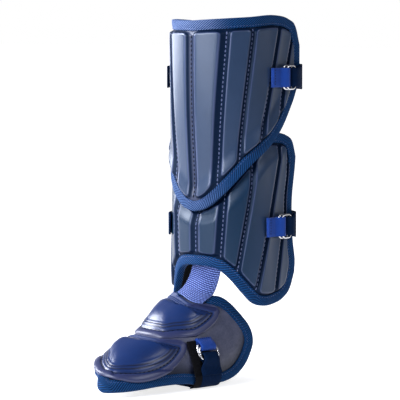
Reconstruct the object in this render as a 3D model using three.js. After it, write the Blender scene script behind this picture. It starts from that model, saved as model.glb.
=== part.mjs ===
// Batter's leg and foot guard for the left leg: two ribbed shin panels bound with tape, a foot pad with
// two moulded caps, a webbing that ties them together, and three straps that cinch through double rings.
// Millimetres, +Z up. The toe points along -Y and the outer side of the leg is +X.
import * as THREE from "three";

// Where the guard is held: heights in this file are above the sole, and the origin is on the leg's axis.
const SEAT_HEIGHT = 260;

// Padding and tape
const RIB_LIFT = 9; // top of a foam rib above the lining
const CHANNEL_LIFT = 4.8; // sewn channel between two ribs
const MARGIN_LIFT = 3.9; // flattened edge inside the tape
const RIB_SLOPE = 5.5; // width of the slope from a channel up to its rib
const TAPE_WIDTH = 8.6; // tape seen on each face
const TAPE_WALL = 1.0;
const TAPE_GAP = 1; // clearance between tape and padding
const TAPE_FOLD = 1.6; // room between the padding's edge and the fold of the tape
const TUCK_DEPTH = 5.2; // the lower panel's top edge tucks this far in under the upper panel
const FLARE = 3.6; // the upper panel's foot edge stands out this far over the lower panel
const TUCK_REACH = 18; // distance over which the tuck and the flare fade out
const TUCK_HALF = 98; // arc on either side of the centre line where they start to fade too
const TUCK_SIDE = 30;
const MARGIN_CLEAR = 1.6; // the padding stays flat this far beyond the tape
const MARGIN_SLOPE = 6;
const LAST_RIB = 3; // least width of the last rib, and of the ribs before it
const NARROW_RIB = 7;
const RIB_SHOULDER = 1; // a rib's shoulders lie this far below its crown
const RIB_SLOPE_SHARE = 0.3; // a slope never takes more of its rib's width than this
const FLAT_SHARE = 0.3; // at either end a rib is flat, then full, within these shares of its length
const FULL_SHARE = 0.4;
const RIB_ROWS = [0.3, 0.7]; // further rows along the full part of a rib
const EDGE_RANGE = 120; // no edge strays further than this from its height on the centre line
const EDGE_SAMPLES = 60;

// Straps, tabs and rings
const STRAP_THICKNESS = 1.8;
const STRAP_WIDTH = 28;
const STRAP_NECK = 20; // the strap gathers to this width inside the rings
const TAB_THICKNESS = 1.5;
const TAB_WIDTH = 21;
const WIRE = 2.2; // ring wire diameter
const RING_PITCH = 2.6; // height from one ring of a pair to the other
const RING_OFFSET = 3.5; // the upper ring of a pair lies this far further back
const RING_LENGTH = 14; // between the centres of a ring's two bars
const RING_WIDTH = 25;
const RING_CORNER = 4;
const RING_CORNER_TURNS = [0, 45, 90];
const RING_PLAY = 0.4; // a ring's front bar lies this far off the middle of the tab's fold
const BAR_CLEAR = 1; // the strap runs on this far past the upper ring before it comes down
const WIRE_SIDES = 5;
const WIRE_GAP = 0.3; // clearance between wire and cloth
const WIRE_LOW = 3.8; // centre of the lower ring's wire above the padding
const WIRE_HIGH = WIRE_LOW + RING_PITCH;
const FOLD_STEPS = 5;
const TAB_CREASE = { back: 4.6, down: 1.8 }; // where the tab's upper layer starts down behind the rings
const TAB_SEAM = 9.5; // and where it meets the lower layer
const CALF_TAB_LENGTH = 26;
const LAP_END = 2.5; // the doubled end of a calf strap stops this far before the panel's edge
const LOOP_POWER = 1.5; // the loop is drawn in flatter than an ellipse behind the panel's edges
const LOOP_STEPS = 12;
const SEWN_STEP = 10;
const STRAP_LAP = 0.5; // clearance between the doubled end and the strap under it
const UPPER_STRAP = { arc: 84.5, height: 332, edgeArc: 140.7, sewnArc: 42 };
const LOWER_STRAP = { arc: 77, height: 170, edgeArc: 130, sewnArc: 42 };
const LOOP_DEPTH = 30; // from the panel's side edges to the back of the calf
const EDGE_LIFT = 7.9; // a strap's lift where it leaves over the side tape
const EDGE_RUN = 18; // and how far ahead of that it comes down from the ribs
const FOOT_TAB_TURN = 60; // degrees round from the instep's ridge to the tab's sewn end
const FOOT_TAB_SPAN = 8; // turn that the tab follows, which sets the way it points
const FOOT_TAB_LENGTH = 15;
const FOOT_STRAP_AHEAD = 70;
const FOOT_STRAP_CLEAR = { half: 8.5, inner: 12.5 }; // strap's distance from the shoe beside the sole
const FOOT_SEWN_LIFT = 6.6; // the strap's lift at its sewn end, and what it gains down to the sole
const FOOT_SEWN_RISE = 1.9;
const FOOT_SEWN_TURN = 62;
const FOOT_LOW_TURN = 84;
const FOOT_SEWN_STEPS = 4;
const FOOT_LAP = 16;

// Webbing between shin and foot
const WEBBING_WIDTH = 41;
const WEBBING_THICKNESS = 2;
const WEBBING_ARC = 6; // middle of the webbing on the shin
const WEBBING_INSIDE = -3.4; // its lift on the lining
const WEBBING_HEIGHTS = [160, 146, 133, 124];
const WEBBING_TURN = 12; // middle of the webbing on the foot, and the turn it spans
const WEBBING_TURNED = 38;
const WEBBING_OVER = 6.3;
const WEBBING_LAP = 2; // it reaches the foot this far behind the pad's edge
const WEBBING_GAP = 1.3; // clearance where it ends against the instep cap
const WEBBING_COLUMNS = 5;

// Foot
const FOOT_YAW = THREE.MathUtils.degToRad(8); // toe-in of the foot against the shin
const FOOT_LEAN = 0.11; // the instep's ridge leans inward by this share of its height
const SIDE_BULGE = 0.85; // powers of the shoe's section, which is squarer than an ellipse
const TOP_BULGE = 0.65;
const PAD_LIFT = 3; // top and underside of the foot pad
const PAD_UNDER = -1.5;
const PAD_ROWS = [0, 0.09, 0.27, 0.5, 0.73, 0.91, 1];
const FOOT_TAPE_INSETS = [8.4, 4.2]; // the tape bends here over the shoe's rounding
const CAP_RIM = 3; // thickness of a cap at its piped rim
const CAP_CROWN = 9; // rise of a cap's dome above its rim
const CAP_SLOPE = [0.04, 0.36]; // the dome rises between these shares of the cap's length
const CAP_SIDE_POWER = 4; // and falls to its sides by this power
const INNER_FALL = 0.6; // a dome is lower by this share on its inner side, from this turn on
const INNER_FALL_TURN = 50;
const CAP_GAP = 2.5; // a cap rides over the tape
const CAP_ROWS = [0, 0.07, 0.16, 0.3, 0.5, 0.7, 0.84, 0.93, 1];

// Section of the leg under the shin panels: a circular front, flattened by a share, and straight side walls
const LEG_SECTIONS = [
  { height: 60, radius: 56, flatness: 0.8 },
  { height: 130, radius: 56, flatness: 0.8 },
  { height: 200, radius: 53.5, flatness: 0.86 },
  { height: 300, radius: 53, flatness: 0.98 },
  { height: 405, radius: 53, flatness: 1 },
];

// Section of the shoe under the foot pad, by distance ahead of the leg's axis, with its half widths on the
// outer and the inner side
const FOOT_SECTIONS = [
  { ahead: -10, ridge: 120, half: 41, inner: 40 },
  { ahead: 0, ridge: 118, half: 41, inner: 40 },
  { ahead: 48, ridge: 94, half: 45, inner: 38 },
  { ahead: 110, ridge: 57, half: 48, inner: 30 },
  { ahead: 150, ridge: 37, half: 46, inner: 26 },
  { ahead: 206, ridge: 14, half: 35, inner: 22 },
];

// Sewn channels: arc from the front centre line at the panel's top and foot
const UPPER_CHANNELS = {
  top: 394,
  foot: 188,
  lines: [
    { topArc: 38.7, footArc: 23.7 },
    { topArc: 66, footArc: 41.5 },
    { topArc: 104, footArc: 53 },
    { topArc: 130, footArc: 72 },
  ],
};
const LOWER_CHANNELS = {
  top: 270,
  foot: 84,
  lines: [
    { topArc: 37, footArc: 24.5 },
    { topArc: 71, footArc: 39.7 },
    { topArc: 109, footArc: 63.7 },
    { topArc: 129, footArc: 95 },
  ],
};

// Edges of the shin panels by arc from the front centre line, on the outer side unless named inner
const UPPER_FOOT_EDGE = [
  { arc: 0, height: 189.5 },
  { arc: 12, height: 193 },
  { arc: 28, height: 206 },
  { arc: 60, height: 241 },
  { arc: 97, height: 271 },
  { arc: 127, height: 306 },
  { arc: 138.5, height: 331 },
];
const UPPER_TOP_EDGE = [
  { arc: 0, height: 391.5 },
  { arc: 60, height: 395 },
  { arc: 100, height: 397 },
  { arc: 121, height: 393 },
  { arc: 132, height: 385 },
  { arc: 138.5, height: 366 },
];
const UPPER_INNER_TOP_EDGE = [
  { arc: 0, height: 391.5 },
  { arc: 70, height: 392.5 },
  { arc: 100, height: 390 },
  { arc: 121, height: 384 },
  { arc: 132, height: 376 },
  { arc: 138.5, height: 359 },
];
const UPPER_SIDE_EDGE = [
  { height: 188, arc: 138.5 },
  { height: 400, arc: 138.5 },
];
const LOWER_TOP_EDGE = [
  { arc: 0, height: 196.5 },
  { arc: 12, height: 200.5 },
  { arc: 28, height: 215 },
  { arc: 60, height: 249 },
  { arc: 88, height: 268 },
  { arc: 106, height: 269 },
  { arc: 119, height: 266 },
  { arc: 127, height: 259 },
  { arc: 132, height: 244 },
];
const LOWER_FOOT_EDGE = [
  { arc: 0, height: 130.5 },
  { arc: 14, height: 130 },
  { arc: 25, height: 127.5 },
  { arc: 38, height: 117.5 },
  { arc: 54, height: 100.5 },
  { arc: 66, height: 90 },
  { arc: 80, height: 86.5 },
  { arc: 97, height: 87.5 },
  { arc: 112, height: 92 },
  { arc: 124, height: 102 },
  { arc: 131, height: 118 },
];
const LOWER_INNER_FOOT_EDGE = [
  { arc: 0, height: 130.5 },
  { arc: 14, height: 130 },
  { arc: 25, height: 126 },
  { arc: 33, height: 118 },
  { arc: 40, height: 105 },
  { arc: 49, height: 94 },
  { arc: 64, height: 88 },
  { arc: 80, height: 86.5 },
  { arc: 97, height: 87.5 },
  { arc: 112, height: 92 },
  { arc: 124, height: 102 },
  { arc: 131, height: 118 },
];
const LOWER_SIDE_EDGE = [
  { height: 86, arc: 130 },
  { height: 118, arc: 131 },
  { height: 130, arc: 132 },
  { height: 152, arc: 128 },
  { height: 196, arc: 125.5 },
  { height: 240, arc: 131.5 },
  { height: 272, arc: 132.5 },
];

// The foot strap's bend under the edge of the sole: how far in from the wall, and height
const SOLE_BEND = [
  { inward: 0, up: 16 },
  { inward: 0.6, up: 10 },
  { inward: 4, up: 4 },
  { inward: 10, up: 1.6 },
];

// Outlines on the foot, by turn in degrees from the instep's ridge, cut back on the inner side
const PAD_EDGE = [
  { turn: 0, back: 47, innerBack: 47, front: 182, innerFront: 182 },
  { turn: 18, back: 45, innerBack: 47, front: 190, innerFront: 174 },
  { turn: 30, back: 38.5, innerBack: 45, front: 196, innerFront: 168 },
  { turn: 39, back: 28.5, innerBack: 41, front: 199.5, innerFront: 164 },
  { turn: 48, back: 21, innerBack: 36, front: 200.5, innerFront: 160.5 },
  { turn: 57, back: 13.5, innerBack: 30, front: 200.5, innerFront: 157 },
  { turn: 64, back: 6.5, innerBack: 22, front: 199, innerFront: 154 },
  { turn: 70, back: 0, innerBack: 14, front: 196.5, innerFront: 151 },
  { turn: 75.5, back: -3, innerBack: 8, front: 188, innerFront: 147 },
  { turn: 79, back: -2, innerBack: 6, front: 176, innerFront: 142 },
  { turn: 82.3, back: 3, innerBack: 10, front: 142, innerFront: 128 },
  { turn: 85.5, back: 11.5, innerBack: 18, front: 110, innerFront: 107 },
  { turn: 88.3, back: 30, innerBack: 34, front: 80, innerFront: 80 },
];
const PAD_TURNS = [0, 11, 21, 31, 40, 49, 57, 64, 70, 75, 78.7, 81.5, 84.6, 88.3];
const INSTEP_CAP_EDGE = [
  { turn: 0, back: 58, innerBack: 58, front: 118, innerFront: 118 },
  { turn: 11, back: 61, innerBack: 54, front: 117.5, innerFront: 117 },
  { turn: 20, back: 61, innerBack: 50.5, front: 115.5, innerFront: 114.5 },
  { turn: 28, back: 57, innerBack: 47.5, front: 113, innerFront: 111 },
  { turn: 35, back: 48, innerBack: 45.5, front: 107.5, innerFront: 106 },
  { turn: 42, back: 40, innerBack: 44.5, front: 99, innerFront: 98 },
  { turn: 48, back: 36, innerBack: 45.5, front: 91, innerFront: 90 },
  { turn: 52, back: 39, innerBack: 49, front: 84, innerFront: 83 },
  { turn: 55.5, back: 48, innerBack: 56, front: 75, innerFront: 74 },
];
const TOE_CAP_EDGE = [
  { turn: 0, back: 120, innerBack: 120, front: 186, innerFront: 186 },
  { turn: 12, back: 119.5, innerBack: 119.5, front: 191.5, innerFront: 180 },
  { turn: 24, back: 116.5, innerBack: 116.5, front: 194, innerFront: 174 },
  { turn: 36, back: 109.5, innerBack: 109.5, front: 193, innerFront: 168 },
  { turn: 46, back: 99, innerBack: 100, front: 190.5, innerFront: 163 },
  { turn: 55, back: 92.5, innerBack: 95, front: 187, innerFront: 157.5 },
  { turn: 62, back: 96, innerBack: 98, front: 181.5, innerFront: 153 },
  { turn: 69, back: 108, innerBack: 108, front: 174.5, innerFront: 147.5 },
  { turn: 74.5, back: 127, innerBack: 125, front: 162, innerFront: 140 },
];

// Materials
const finish = (color, roughness, metalness = 0) =>
  new THREE.MeshStandardMaterial({ color, roughness, metalness });
const NAVY_VINYL = finish(0x2b3460, 0.38);
const MOULDED_NAVY = finish(0x1d2f6b, 0.25);
const BLUE_TAPE = finish(0x1c3f7c, 0.8);
const BRIGHT_WEBBING = finish(0x1f4db0, 0.75);
const PALE_WEBBING = finish(0x5a66b4, 0.75);
const NAVY_ELASTIC = finish(0x0b1f45, 0.85);
const NICKEL = finish(0xc9c9cc, 0.25, 1);

// Smooth interpolation of one column of a table over its key column
function lookUp(table, key, x, column) {
  const last = table.length - 1;
  const held = Math.min(Math.max(x, table[0][key]), table[last][key]);
  let i = 0;
  while (i < last - 1 && table[i + 1][key] < held) i += 1;
  const near = table[i];
  const far = table[i + 1];
  const span = far[key] - near[key];
  const slope = (a, b) => (b[column] - a[column]) / (b[key] - a[key]);
  const chord = slope(near, far);
  const into = i > 0 ? (slope(table[i - 1], near) + chord) / 2 : chord;
  const out = i + 2 <= last ? (slope(far, table[i + 2]) + chord) / 2 : chord;
  const t = (held - near[key]) / span;
  const rise = far[column] - near[column];
  return (
    near[column] +
    t * t * (3 - 2 * t) * rise +
    span * (t * (1 - t) * (1 - t) * into - t * t * (1 - t) * out)
  );
}

// A point over the leg: arc from the front centre line, height above the sole, lift off the lining
function legPoint(arc, height, lift) {
  const radius = lookUp(LEG_SECTIONS, "height", height, "radius");
  const flatness = lookUp(LEG_SECTIONS, "height", height, "flatness");
  const quarter = (radius * Math.PI) / 2;
  const side = Math.sign(arc) || 1;
  if (Math.abs(arc) > quarter)
    return new THREE.Vector3(side * (radius + lift), Math.abs(arc) - quarter, height);
  const turn = arc / radius;
  return new THREE.Vector3(
    (radius + lift) * Math.sin(turn),
    -(radius * flatness + lift) * Math.cos(turn),
    height,
  );
}

// A point of the foot's own frame (ahead, outward, up) in the part's frame
function fromFoot(ahead, outward, up) {
  return new THREE.Vector3(
    outward * Math.cos(FOOT_YAW) - ahead * Math.sin(FOOT_YAW),
    -outward * Math.sin(FOOT_YAW) - ahead * Math.cos(FOOT_YAW),
    up,
  );
}

// A point over the shoe: turn from the ridge in degrees, distance ahead of the leg's axis, lift
function footPoint(turn, ahead, lift) {
  const ridge = lookUp(FOOT_SECTIONS, "ahead", ahead, "ridge");
  const half = lookUp(FOOT_SECTIONS, "ahead", ahead, turn < 0 ? "inner" : "half");
  const probe = 0.5;
  const arch = (degrees) => {
    const angle = THREE.MathUtils.degToRad(degrees);
    const outward = Math.sign(angle) * Math.abs(Math.sin(angle)) ** SIDE_BULGE * half;
    return new THREE.Vector2(outward, Math.max(Math.cos(angle), 0) ** TOP_BULGE * ridge);
  };
  const along = arch(turn + probe).sub(arch(turn - probe)).normalize();
  const spot = arch(turn).add(new THREE.Vector2(-along.y, along.x).multiplyScalar(lift));
  return fromFoot(ahead, spot.x - FOOT_LEAN * spot.y, spot.y);
}

// A closed body from rows of points. Rows close on themselves, and the body closes end to end or is capped.
function bodyFromRows(rows, closed) {
  const across = rows[0].length;
  const index = [];
  const steps = closed ? rows.length : rows.length - 1;
  for (let i = 0; i < steps; i += 1)
    for (let j = 0; j < across; j += 1) {
      const a = i * across + j;
      const b = i * across + ((j + 1) % across);
      const c = ((i + 1) % rows.length) * across + j;
      const d = ((i + 1) % rows.length) * across + ((j + 1) % across);
      index.push(a, c, b, b, c, d);
    }
  if (!closed)
    for (let j = 1; j < across - 1; j += 1) {
      const end = (rows.length - 1) * across;
      index.push(0, j, j + 1, end, end + j + 1, end + j);
    }
  return facingOut(rows.flat(), index);
}

// A closed sheet between two grids of points, over[column][row] and under[column][row]
function bodyFromSheet(over, under) {
  const columns = over.length;
  const rows = over[0].length;
  const index = [];
  const at = (i, j) => i * rows + j;
  const count = columns * rows;
  const points = [...over.flat(), ...under.flat()];
  const quad = (a, b, c, d) => index.push(a, b, c, a, c, d);
  const between = (a, b) => points[a].clone().add(points[b]).divideScalar(2);
  // A face of the sheet, split along the diagonal that lies nearer the opposite face
  const face = (a, b, c, d, other) => {
    const opposite = between((a + other) % (2 * count), (c + other) % (2 * count));
    if (between(a, c).distanceTo(opposite) <= between(b, d).distanceTo(opposite)) quad(a, b, c, d);
    else quad(b, c, d, a);
  };
  for (let i = 0; i < columns - 1; i += 1)
    for (let j = 0; j < rows - 1; j += 1) {
      const corners = [at(i, j), at(i + 1, j), at(i + 1, j + 1), at(i, j + 1)];
      face(...corners, count);
      face(...corners.reverse().map((k) => k + count), count);
    }
  const rim = gridRim(columns, rows).map(([i, j]) => at(i, j));
  rim.forEach((a, k) => {
    const b = rim[(k + 1) % rim.length];
    quad(b, a, count + a, count + b);
  });
  return facingOut(points, index);
}

// The rim of a grid as column and row numbers, once round
function gridRim(columns, rows) {
  const rim = [];
  for (let i = 0; i < columns - 1; i += 1) rim.push([i, 0]);
  for (let j = 0; j < rows - 1; j += 1) rim.push([columns - 1, j]);
  for (let i = columns - 1; i > 0; i -= 1) rim.push([i, rows - 1]);
  for (let j = rows - 1; j > 0; j -= 1) rim.push([0, j]);
  return rim;
}

// A geometry whose faces are turned round if it came out inside out
function facingOut(points, index) {
  let volume = 0;
  const cross = new THREE.Vector3();
  for (let i = 0; i < index.length; i += 3)
    volume += cross.crossVectors(points[index[i + 1]], points[index[i + 2]]).dot(points[index[i]]);
  if (volume < 0)
    for (let i = 0; i < index.length; i += 3) [index[i + 1], index[i + 2]] = [index[i + 2], index[i + 1]];
  const geometry = new THREE.BufferGeometry().setFromPoints(points);
  geometry.setIndex(index);
  geometry.computeVertexNormals();
  return geometry;
}

// A point of a surface moved a true distance along it
function stepInside(surface, [u, v], inward, distance) {
  const probe = 0.2;
  const here = surface(u, v, 0);
  const du = surface(u + probe, v, 0).sub(here).divideScalar(probe);
  const dv = surface(u, v + probe, 0).sub(here).divideScalar(probe);
  const uu = du.dot(du);
  const uv = du.dot(dv);
  const vv = dv.dot(dv);
  const bu = inward.dot(du) * distance;
  const bv = inward.dot(dv) * distance;
  const det = uu * vv - uv * uv;
  return [u + (bu * vv - bv * uv) / det, v + (bv * uu - bu * uv) / det];
}

// Binding tape folded over the rim of a sheet: a U section swept once round, lapped onto both faces
function bindingTape(surface, rim, [under, over], insets, bend) {
  const low = under - TAPE_GAP;
  const high = over + TAPE_GAP;
  const wall = (lift) => insets.map((inset) => ({ inset, lift }));
  const section = [
    ...wall(high + TAPE_WALL),
    { inset: -TAPE_FOLD / 2, lift: high + TAPE_WALL },
    { inset: -TAPE_FOLD - TAPE_WALL, lift: high - TAPE_GAP },
    { inset: -TAPE_FOLD - TAPE_WALL, lift: low + TAPE_GAP },
    { inset: -TAPE_FOLD / 2, lift: low - TAPE_WALL },
    ...wall(low - TAPE_WALL).reverse(),
    ...wall(low),
    { inset: -TAPE_FOLD, lift: low },
    { inset: -TAPE_FOLD, lift: high },
    ...wall(high).reverse(),
  ];
  const spots = rim.map(([u, v]) => surface(u, v, 0));
  const rows = rim.map((spot, k) => {
    const before = spots[(k + rim.length - 1) % rim.length];
    const after = spots[(k + 1) % rim.length];
    const along = after.clone().sub(before);
    const normal = surface(spot[0], spot[1], 1).sub(spots[k]);
    const inward = new THREE.Vector3().crossVectors(normal, along).normalize();
    return section.map(({ inset, lift }) => {
      const [u, v] = stepInside(surface, spot, inward, inset);
      return surface(u, v, lift + bend(u, v));
    });
  });
  return bodyFromRows(rows, true);
}

// Distance from a point to a row of points joined by straight lines
function distanceToLine(line, u, v) {
  let nearest = Infinity;
  for (let k = 1; k < line.length; k += 1) {
    const [au, av] = line[k - 1];
    const [bu, bv] = line[k];
    const span = (bu - au) ** 2 + (bv - av) ** 2;
    const share = THREE.MathUtils.clamp(((u - au) * (bu - au) + (v - av) * (bv - av)) / span, 0, 1);
    nearest = Math.min(nearest, Math.hypot(u - au - share * (bu - au), v - av - share * (bv - av)));
  }
  return nearest;
}

// Where a rising function crosses zero
function crossing(rising, low, high) {
  for (let round = 0; round < 40; round += 1) {
    const middle = (low + high) / 2;
    if (rising(middle) < 0) low = middle;
    else high = middle;
  }
  return (low + high) / 2;
}

// Columns of one half of a shin panel, from the front centre line out to the side edge: for each rib its
// channel, two shoulders and a crown, then the flat margin that the tape covers
function ribColumns({ channels, sideEdge }) {
  const flat = TAPE_WIDTH + MARGIN_CLEAR;
  const edgeArc = (height) => lookUp(sideEdge, "height", height, "arc");
  const count = channels.lines.length;
  const channelArc = (number, height) => {
    if (number === 0) return 0;
    const { topArc, footArc } = channels.lines[number - 1];
    const share = (height - channels.foot) / (channels.top - channels.foot);
    const room = edgeArc(height) - flat - LAST_RIB - NARROW_RIB * (count - number);
    return Math.min(footArc + (topArc - footArc) * share, room);
  };
  const columns = [];
  for (let number = 0; number <= count; number += 1) {
    const start = (height) => channelArc(number, height);
    const end = (height) => (number < count ? channelArc(number + 1, height) : edgeArc(height) - flat);
    const middle = (height) => (start(height) + end(height)) / 2;
    const slope = (height) => Math.min(RIB_SLOPE, (end(height) - start(height)) * RIB_SLOPE_SHARE);
    const shoulder = RIB_LIFT - RIB_SHOULDER;
    columns.push({ crest: CHANNEL_LIFT, arcAt: start });
    columns.push({ crest: shoulder, arcAt: (height) => start(height) + slope(height) });
    if (number < count) columns.push({ crest: RIB_LIFT, arcAt: middle });
    columns.push({ crest: shoulder, arcAt: (height) => end(height) - slope(height) });
  }
  columns.push({ crest: MARGIN_LIFT, arcAt: (height) => edgeArc(height) - flat });
  columns.push({ crest: MARGIN_LIFT, arcAt: edgeArc });
  return columns;
}

// A ribbed shin panel and its tape
function shinPanel({ channels, footEdge, innerFootEdge, topEdge, innerTopEdge, sideEdge, tuck, flare }) {
  const flat = TAPE_WIDTH + MARGIN_CLEAR;
  const half = ribColumns({ channels, sideEdge });
  const lineOf = (edge) => {
    const widest = edge[edge.length - 1].arc;
    return Array.from({ length: EDGE_SAMPLES + 1 }, (_, k) => {
      const arc = (widest * k) / EDGE_SAMPLES;
      return [arc, lookUp(edge, "arc", arc, "height")];
    });
  };
  const footLines = { 1: lineOf(footEdge), [-1]: lineOf(innerFootEdge) };
  const topLines = { 1: lineOf(topEdge), [-1]: lineOf(innerTopEdge) };
  const bend = (arc, height) => {
    const side = arc < 0 ? -1 : 1;
    const fade = (line) => {
      const depth = distanceToLine(line, Math.abs(arc), height) - TAPE_WIDTH;
      return 1 - THREE.MathUtils.smoothstep(depth, 0, TUCK_REACH);
    };
    const middle = 1 - THREE.MathUtils.smoothstep(Math.abs(arc) - TUCK_HALF, 0, TUCK_SIDE);
    return middle * (flare * fade(footLines[side]) - tuck * fade(topLines[1]));
  };
  const gridColumn = (side, { crest, arcAt }) => {
    const sideTop = side > 0 ? topEdge : innerTopEdge;
    const sideFoot = side > 0 ? footEdge : innerFootEdge;
    const above = (edge) => (height) => height - lookUp(edge, "arc", arcAt(height), "height");
    const lowest = crossing(above(sideFoot), sideFoot[0].height - EDGE_RANGE, sideTop[0].height);
    const highest = crossing(above(sideTop), lowest, sideTop[0].height + EDGE_RANGE);
    const span = highest - lowest;
    const fromFoot = (height) => distanceToLine(footLines[side], arcAt(height), height);
    const fromTop = (height) => distanceToLine(topLines[side], arcAt(height), height);
    const reach = (distance, share) => {
      const low = crossing((height) => fromFoot(height) - distance, lowest, lowest + span * share);
      const high = crossing((height) => distance - fromTop(height), highest - span * share, highest);
      return [low, high];
    };
    const [flatLow, flatHigh] = reach(flat, FLAT_SHARE);
    const [fullLow, fullHigh] = reach(flat + MARGIN_SLOPE, FULL_SHARE);
    const inner = RIB_ROWS.map((share) => fullLow + (fullHigh - fullLow) * share);
    return [lowest, flatLow, fullLow, ...inner, fullHigh, flatHigh, highest].map((height) => {
      const arc = arcAt(height);
      const beside = lookUp(sideEdge, "height", height, "arc") - arc;
      const depth = Math.min(fromFoot(height), fromTop(height), beside) - flat;
      const share = THREE.MathUtils.smoothstep(depth, 0, MARGIN_SLOPE);
      return { arc: side * arc, height, lift: MARGIN_LIFT + (crest - MARGIN_LIFT) * share };
    });
  };
  const inner = half.slice(1).reverse().map((column) => gridColumn(-1, column));
  const outer = half.map((column) => gridColumn(1, column));
  const grid = [...inner, ...outer];
  const face = (liftOf) =>
    grid.map((column) =>
      column.map((spot) => legPoint(spot.arc, spot.height, liftOf(spot) + bend(spot.arc, spot.height))),
    );
  const rim = gridRim(grid.length, grid[0].length).map(([i, j]) => [grid[i][j].arc, grid[i][j].height]);
  return {
    padding: bodyFromSheet(face((spot) => spot.lift), face(() => 0)),
    tape: bindingTape(legPoint, rim, [0, MARGIN_LIFT], [TAPE_WIDTH], bend),
  };
}

// An outline's rows for both halves, from the inner side round to the outer side
function bothHalves(turns, edge) {
  const rowOf = (turn, back, front) => ({
    turn,
    back: lookUp(edge, "turn", Math.abs(turn), back),
    front: lookUp(edge, "turn", Math.abs(turn), front),
  });
  const inner = turns.slice(1).reverse().map((turn) => rowOf(-turn, "innerBack", "innerFront"));
  return [...inner, ...turns.map((turn) => rowOf(turn, "back", "front"))];
}

// The foot pad and its tape
function footPad() {
  const grid = bothHalves(PAD_TURNS, PAD_EDGE).map(({ turn, back, front }) =>
    PAD_ROWS.map((share) => [turn, back + (front - back) * share]),
  );
  const face = (lift) => grid.map((column) => column.map(([turn, ahead]) => footPoint(turn, ahead, lift)));
  const rim = gridRim(grid.length, grid[0].length).map(([i, j]) => grid[i][j]);
  rim.reverse();
  return {
    padding: bodyFromSheet(face(PAD_LIFT), face(PAD_UNDER)),
    tape: bindingTape(footPoint, rim, [PAD_UNDER, PAD_LIFT], FOOT_TAPE_INSETS, () => 0),
  };
}

// A moulded cap: a piped rim that steps up into a dome
function footCap(edge) {
  const widest = edge[edge.length - 1].turn;
  const rowsOf = ({ turn, back, front }) =>
    CAP_ROWS.map((share) => {
      const rise = THREE.MathUtils.smoothstep(Math.min(share, 1 - share), ...CAP_SLOPE);
      const fall = INNER_FALL * THREE.MathUtils.smoothstep(-turn, 0, INNER_FALL_TURN);
      const sides = Math.max(1 - Math.abs(turn / widest) ** CAP_SIDE_POWER - fall, 0);
      return { turn, ahead: back + (front - back) * share, crown: CAP_CROWN * rise * sides };
    });
  const turns = edge.map(({ turn }) => turn);
  const grid = bothHalves(turns, edge).map(rowsOf);
  const face = (liftOf) =>
    grid.map((column) => column.map((spot) => footPoint(spot.turn, spot.ahead, liftOf(spot))));
  const seat = PAD_LIFT + CAP_GAP;
  return bodyFromSheet(face(({ crown }) => seat + CAP_RIM + crown), face(() => seat));
}

// Webbing from inside the lower panel's arch, down and forward onto the foot pad up to the instep cap
function ankleWebbing() {
  const shares = Array.from({ length: WEBBING_COLUMNS + 1 }, (_, k) => k / WEBBING_COLUMNS);
  const face = (side) =>
    shares.map((share) => {
      const lift = (side * WEBBING_THICKNESS) / 2;
      const arc = WEBBING_ARC + (share - 0.5) * WEBBING_WIDTH;
      const turn = WEBBING_TURN + (share - 0.5) * WEBBING_TURNED;
      const onShin = WEBBING_HEIGHTS.map((height) => legPoint(arc, height, WEBBING_INSIDE + lift));
      const column = turn < 0 ? "innerBack" : "back";
      const start = lookUp(PAD_EDGE, "turn", Math.abs(turn), column) - WEBBING_LAP;
      const end = lookUp(INSTEP_CAP_EDGE, "turn", Math.abs(turn), column) - WEBBING_GAP;
      const onFoot = [start, (start + end) / 2, end].map((ahead) =>
        footPoint(turn, ahead, WEBBING_OVER + lift),
      );
      return [...onShin, ...onFoot];
    });
  return bodyFromSheet(face(1), face(-1));
}

// A flat strip along a row of points, square to a fixed direction
function flatStrip(points, across, thickness, widthAt) {
  const last = points.length - 1;
  const square = (from, to) => new THREE.Vector3().crossVectors(across, to.clone().sub(from)).normalize();
  const rows = points.map((point, k) => {
    const before = square(points[Math.max(k - 1, 0)], points[Math.max(k, 1)]);
    const after = square(points[Math.min(k, last - 1)], points[Math.min(k + 1, last)]);
    const normal = before.clone().add(after).normalize();
    const over = normal.multiplyScalar(thickness / 2 / Math.max(normal.dot(after), 0.7));
    const side = across.clone().multiplyScalar(widthAt(k) / 2);
    return [
      point.clone().add(over).add(side),
      point.clone().add(over).sub(side),
      point.clone().sub(over).sub(side),
      point.clone().sub(over).add(side),
    ];
  });
  return bodyFromRows(rows, false);
}

// Points of a half circle from one layer of a fold to the other
function foldPoints(centre, low, high, facing) {
  const middle = (low + high) / 2;
  return Array.from({ length: FOLD_STEPS + 1 }, (_, k) => {
    const angle = -Math.PI / 2 + (Math.PI * k) / FOLD_STEPS;
    return [centre + facing * Math.cos(angle) * (high - middle), middle + Math.sin(angle) * (high - middle)];
  });
}

// A wire ring with rounded corners, lying flat in a cinch
function wireRing(place, front, lift) {
  const middle = front + RING_LENGTH / 2;
  const stations = [];
  for (const [a, w, from] of [[1, 1, 0], [-1, 1, 90], [-1, -1, 180], [1, -1, 270]])
    for (const step of RING_CORNER_TURNS) {
      const angle = THREE.MathUtils.degToRad(from + step);
      const corner = [(a * (RING_LENGTH - 2 * RING_CORNER)) / 2, (w * (RING_WIDTH - 2 * RING_CORNER)) / 2];
      stations.push({ corner, angle });
    }
  const rows = stations.map(({ corner, angle }) =>
    Array.from({ length: WIRE_SIDES }, (_, k) => {
      const turn = (2 * Math.PI * k) / WIRE_SIDES;
      const reach = RING_CORNER + (WIRE / 2) * Math.cos(turn);
      const along = middle + corner[0] + reach * Math.cos(angle);
      return place(along, lift + (WIRE / 2) * Math.sin(turn), corner[1] + reach * Math.sin(angle));
    }),
  );
  return bodyFromRows(rows, true);
}

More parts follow.
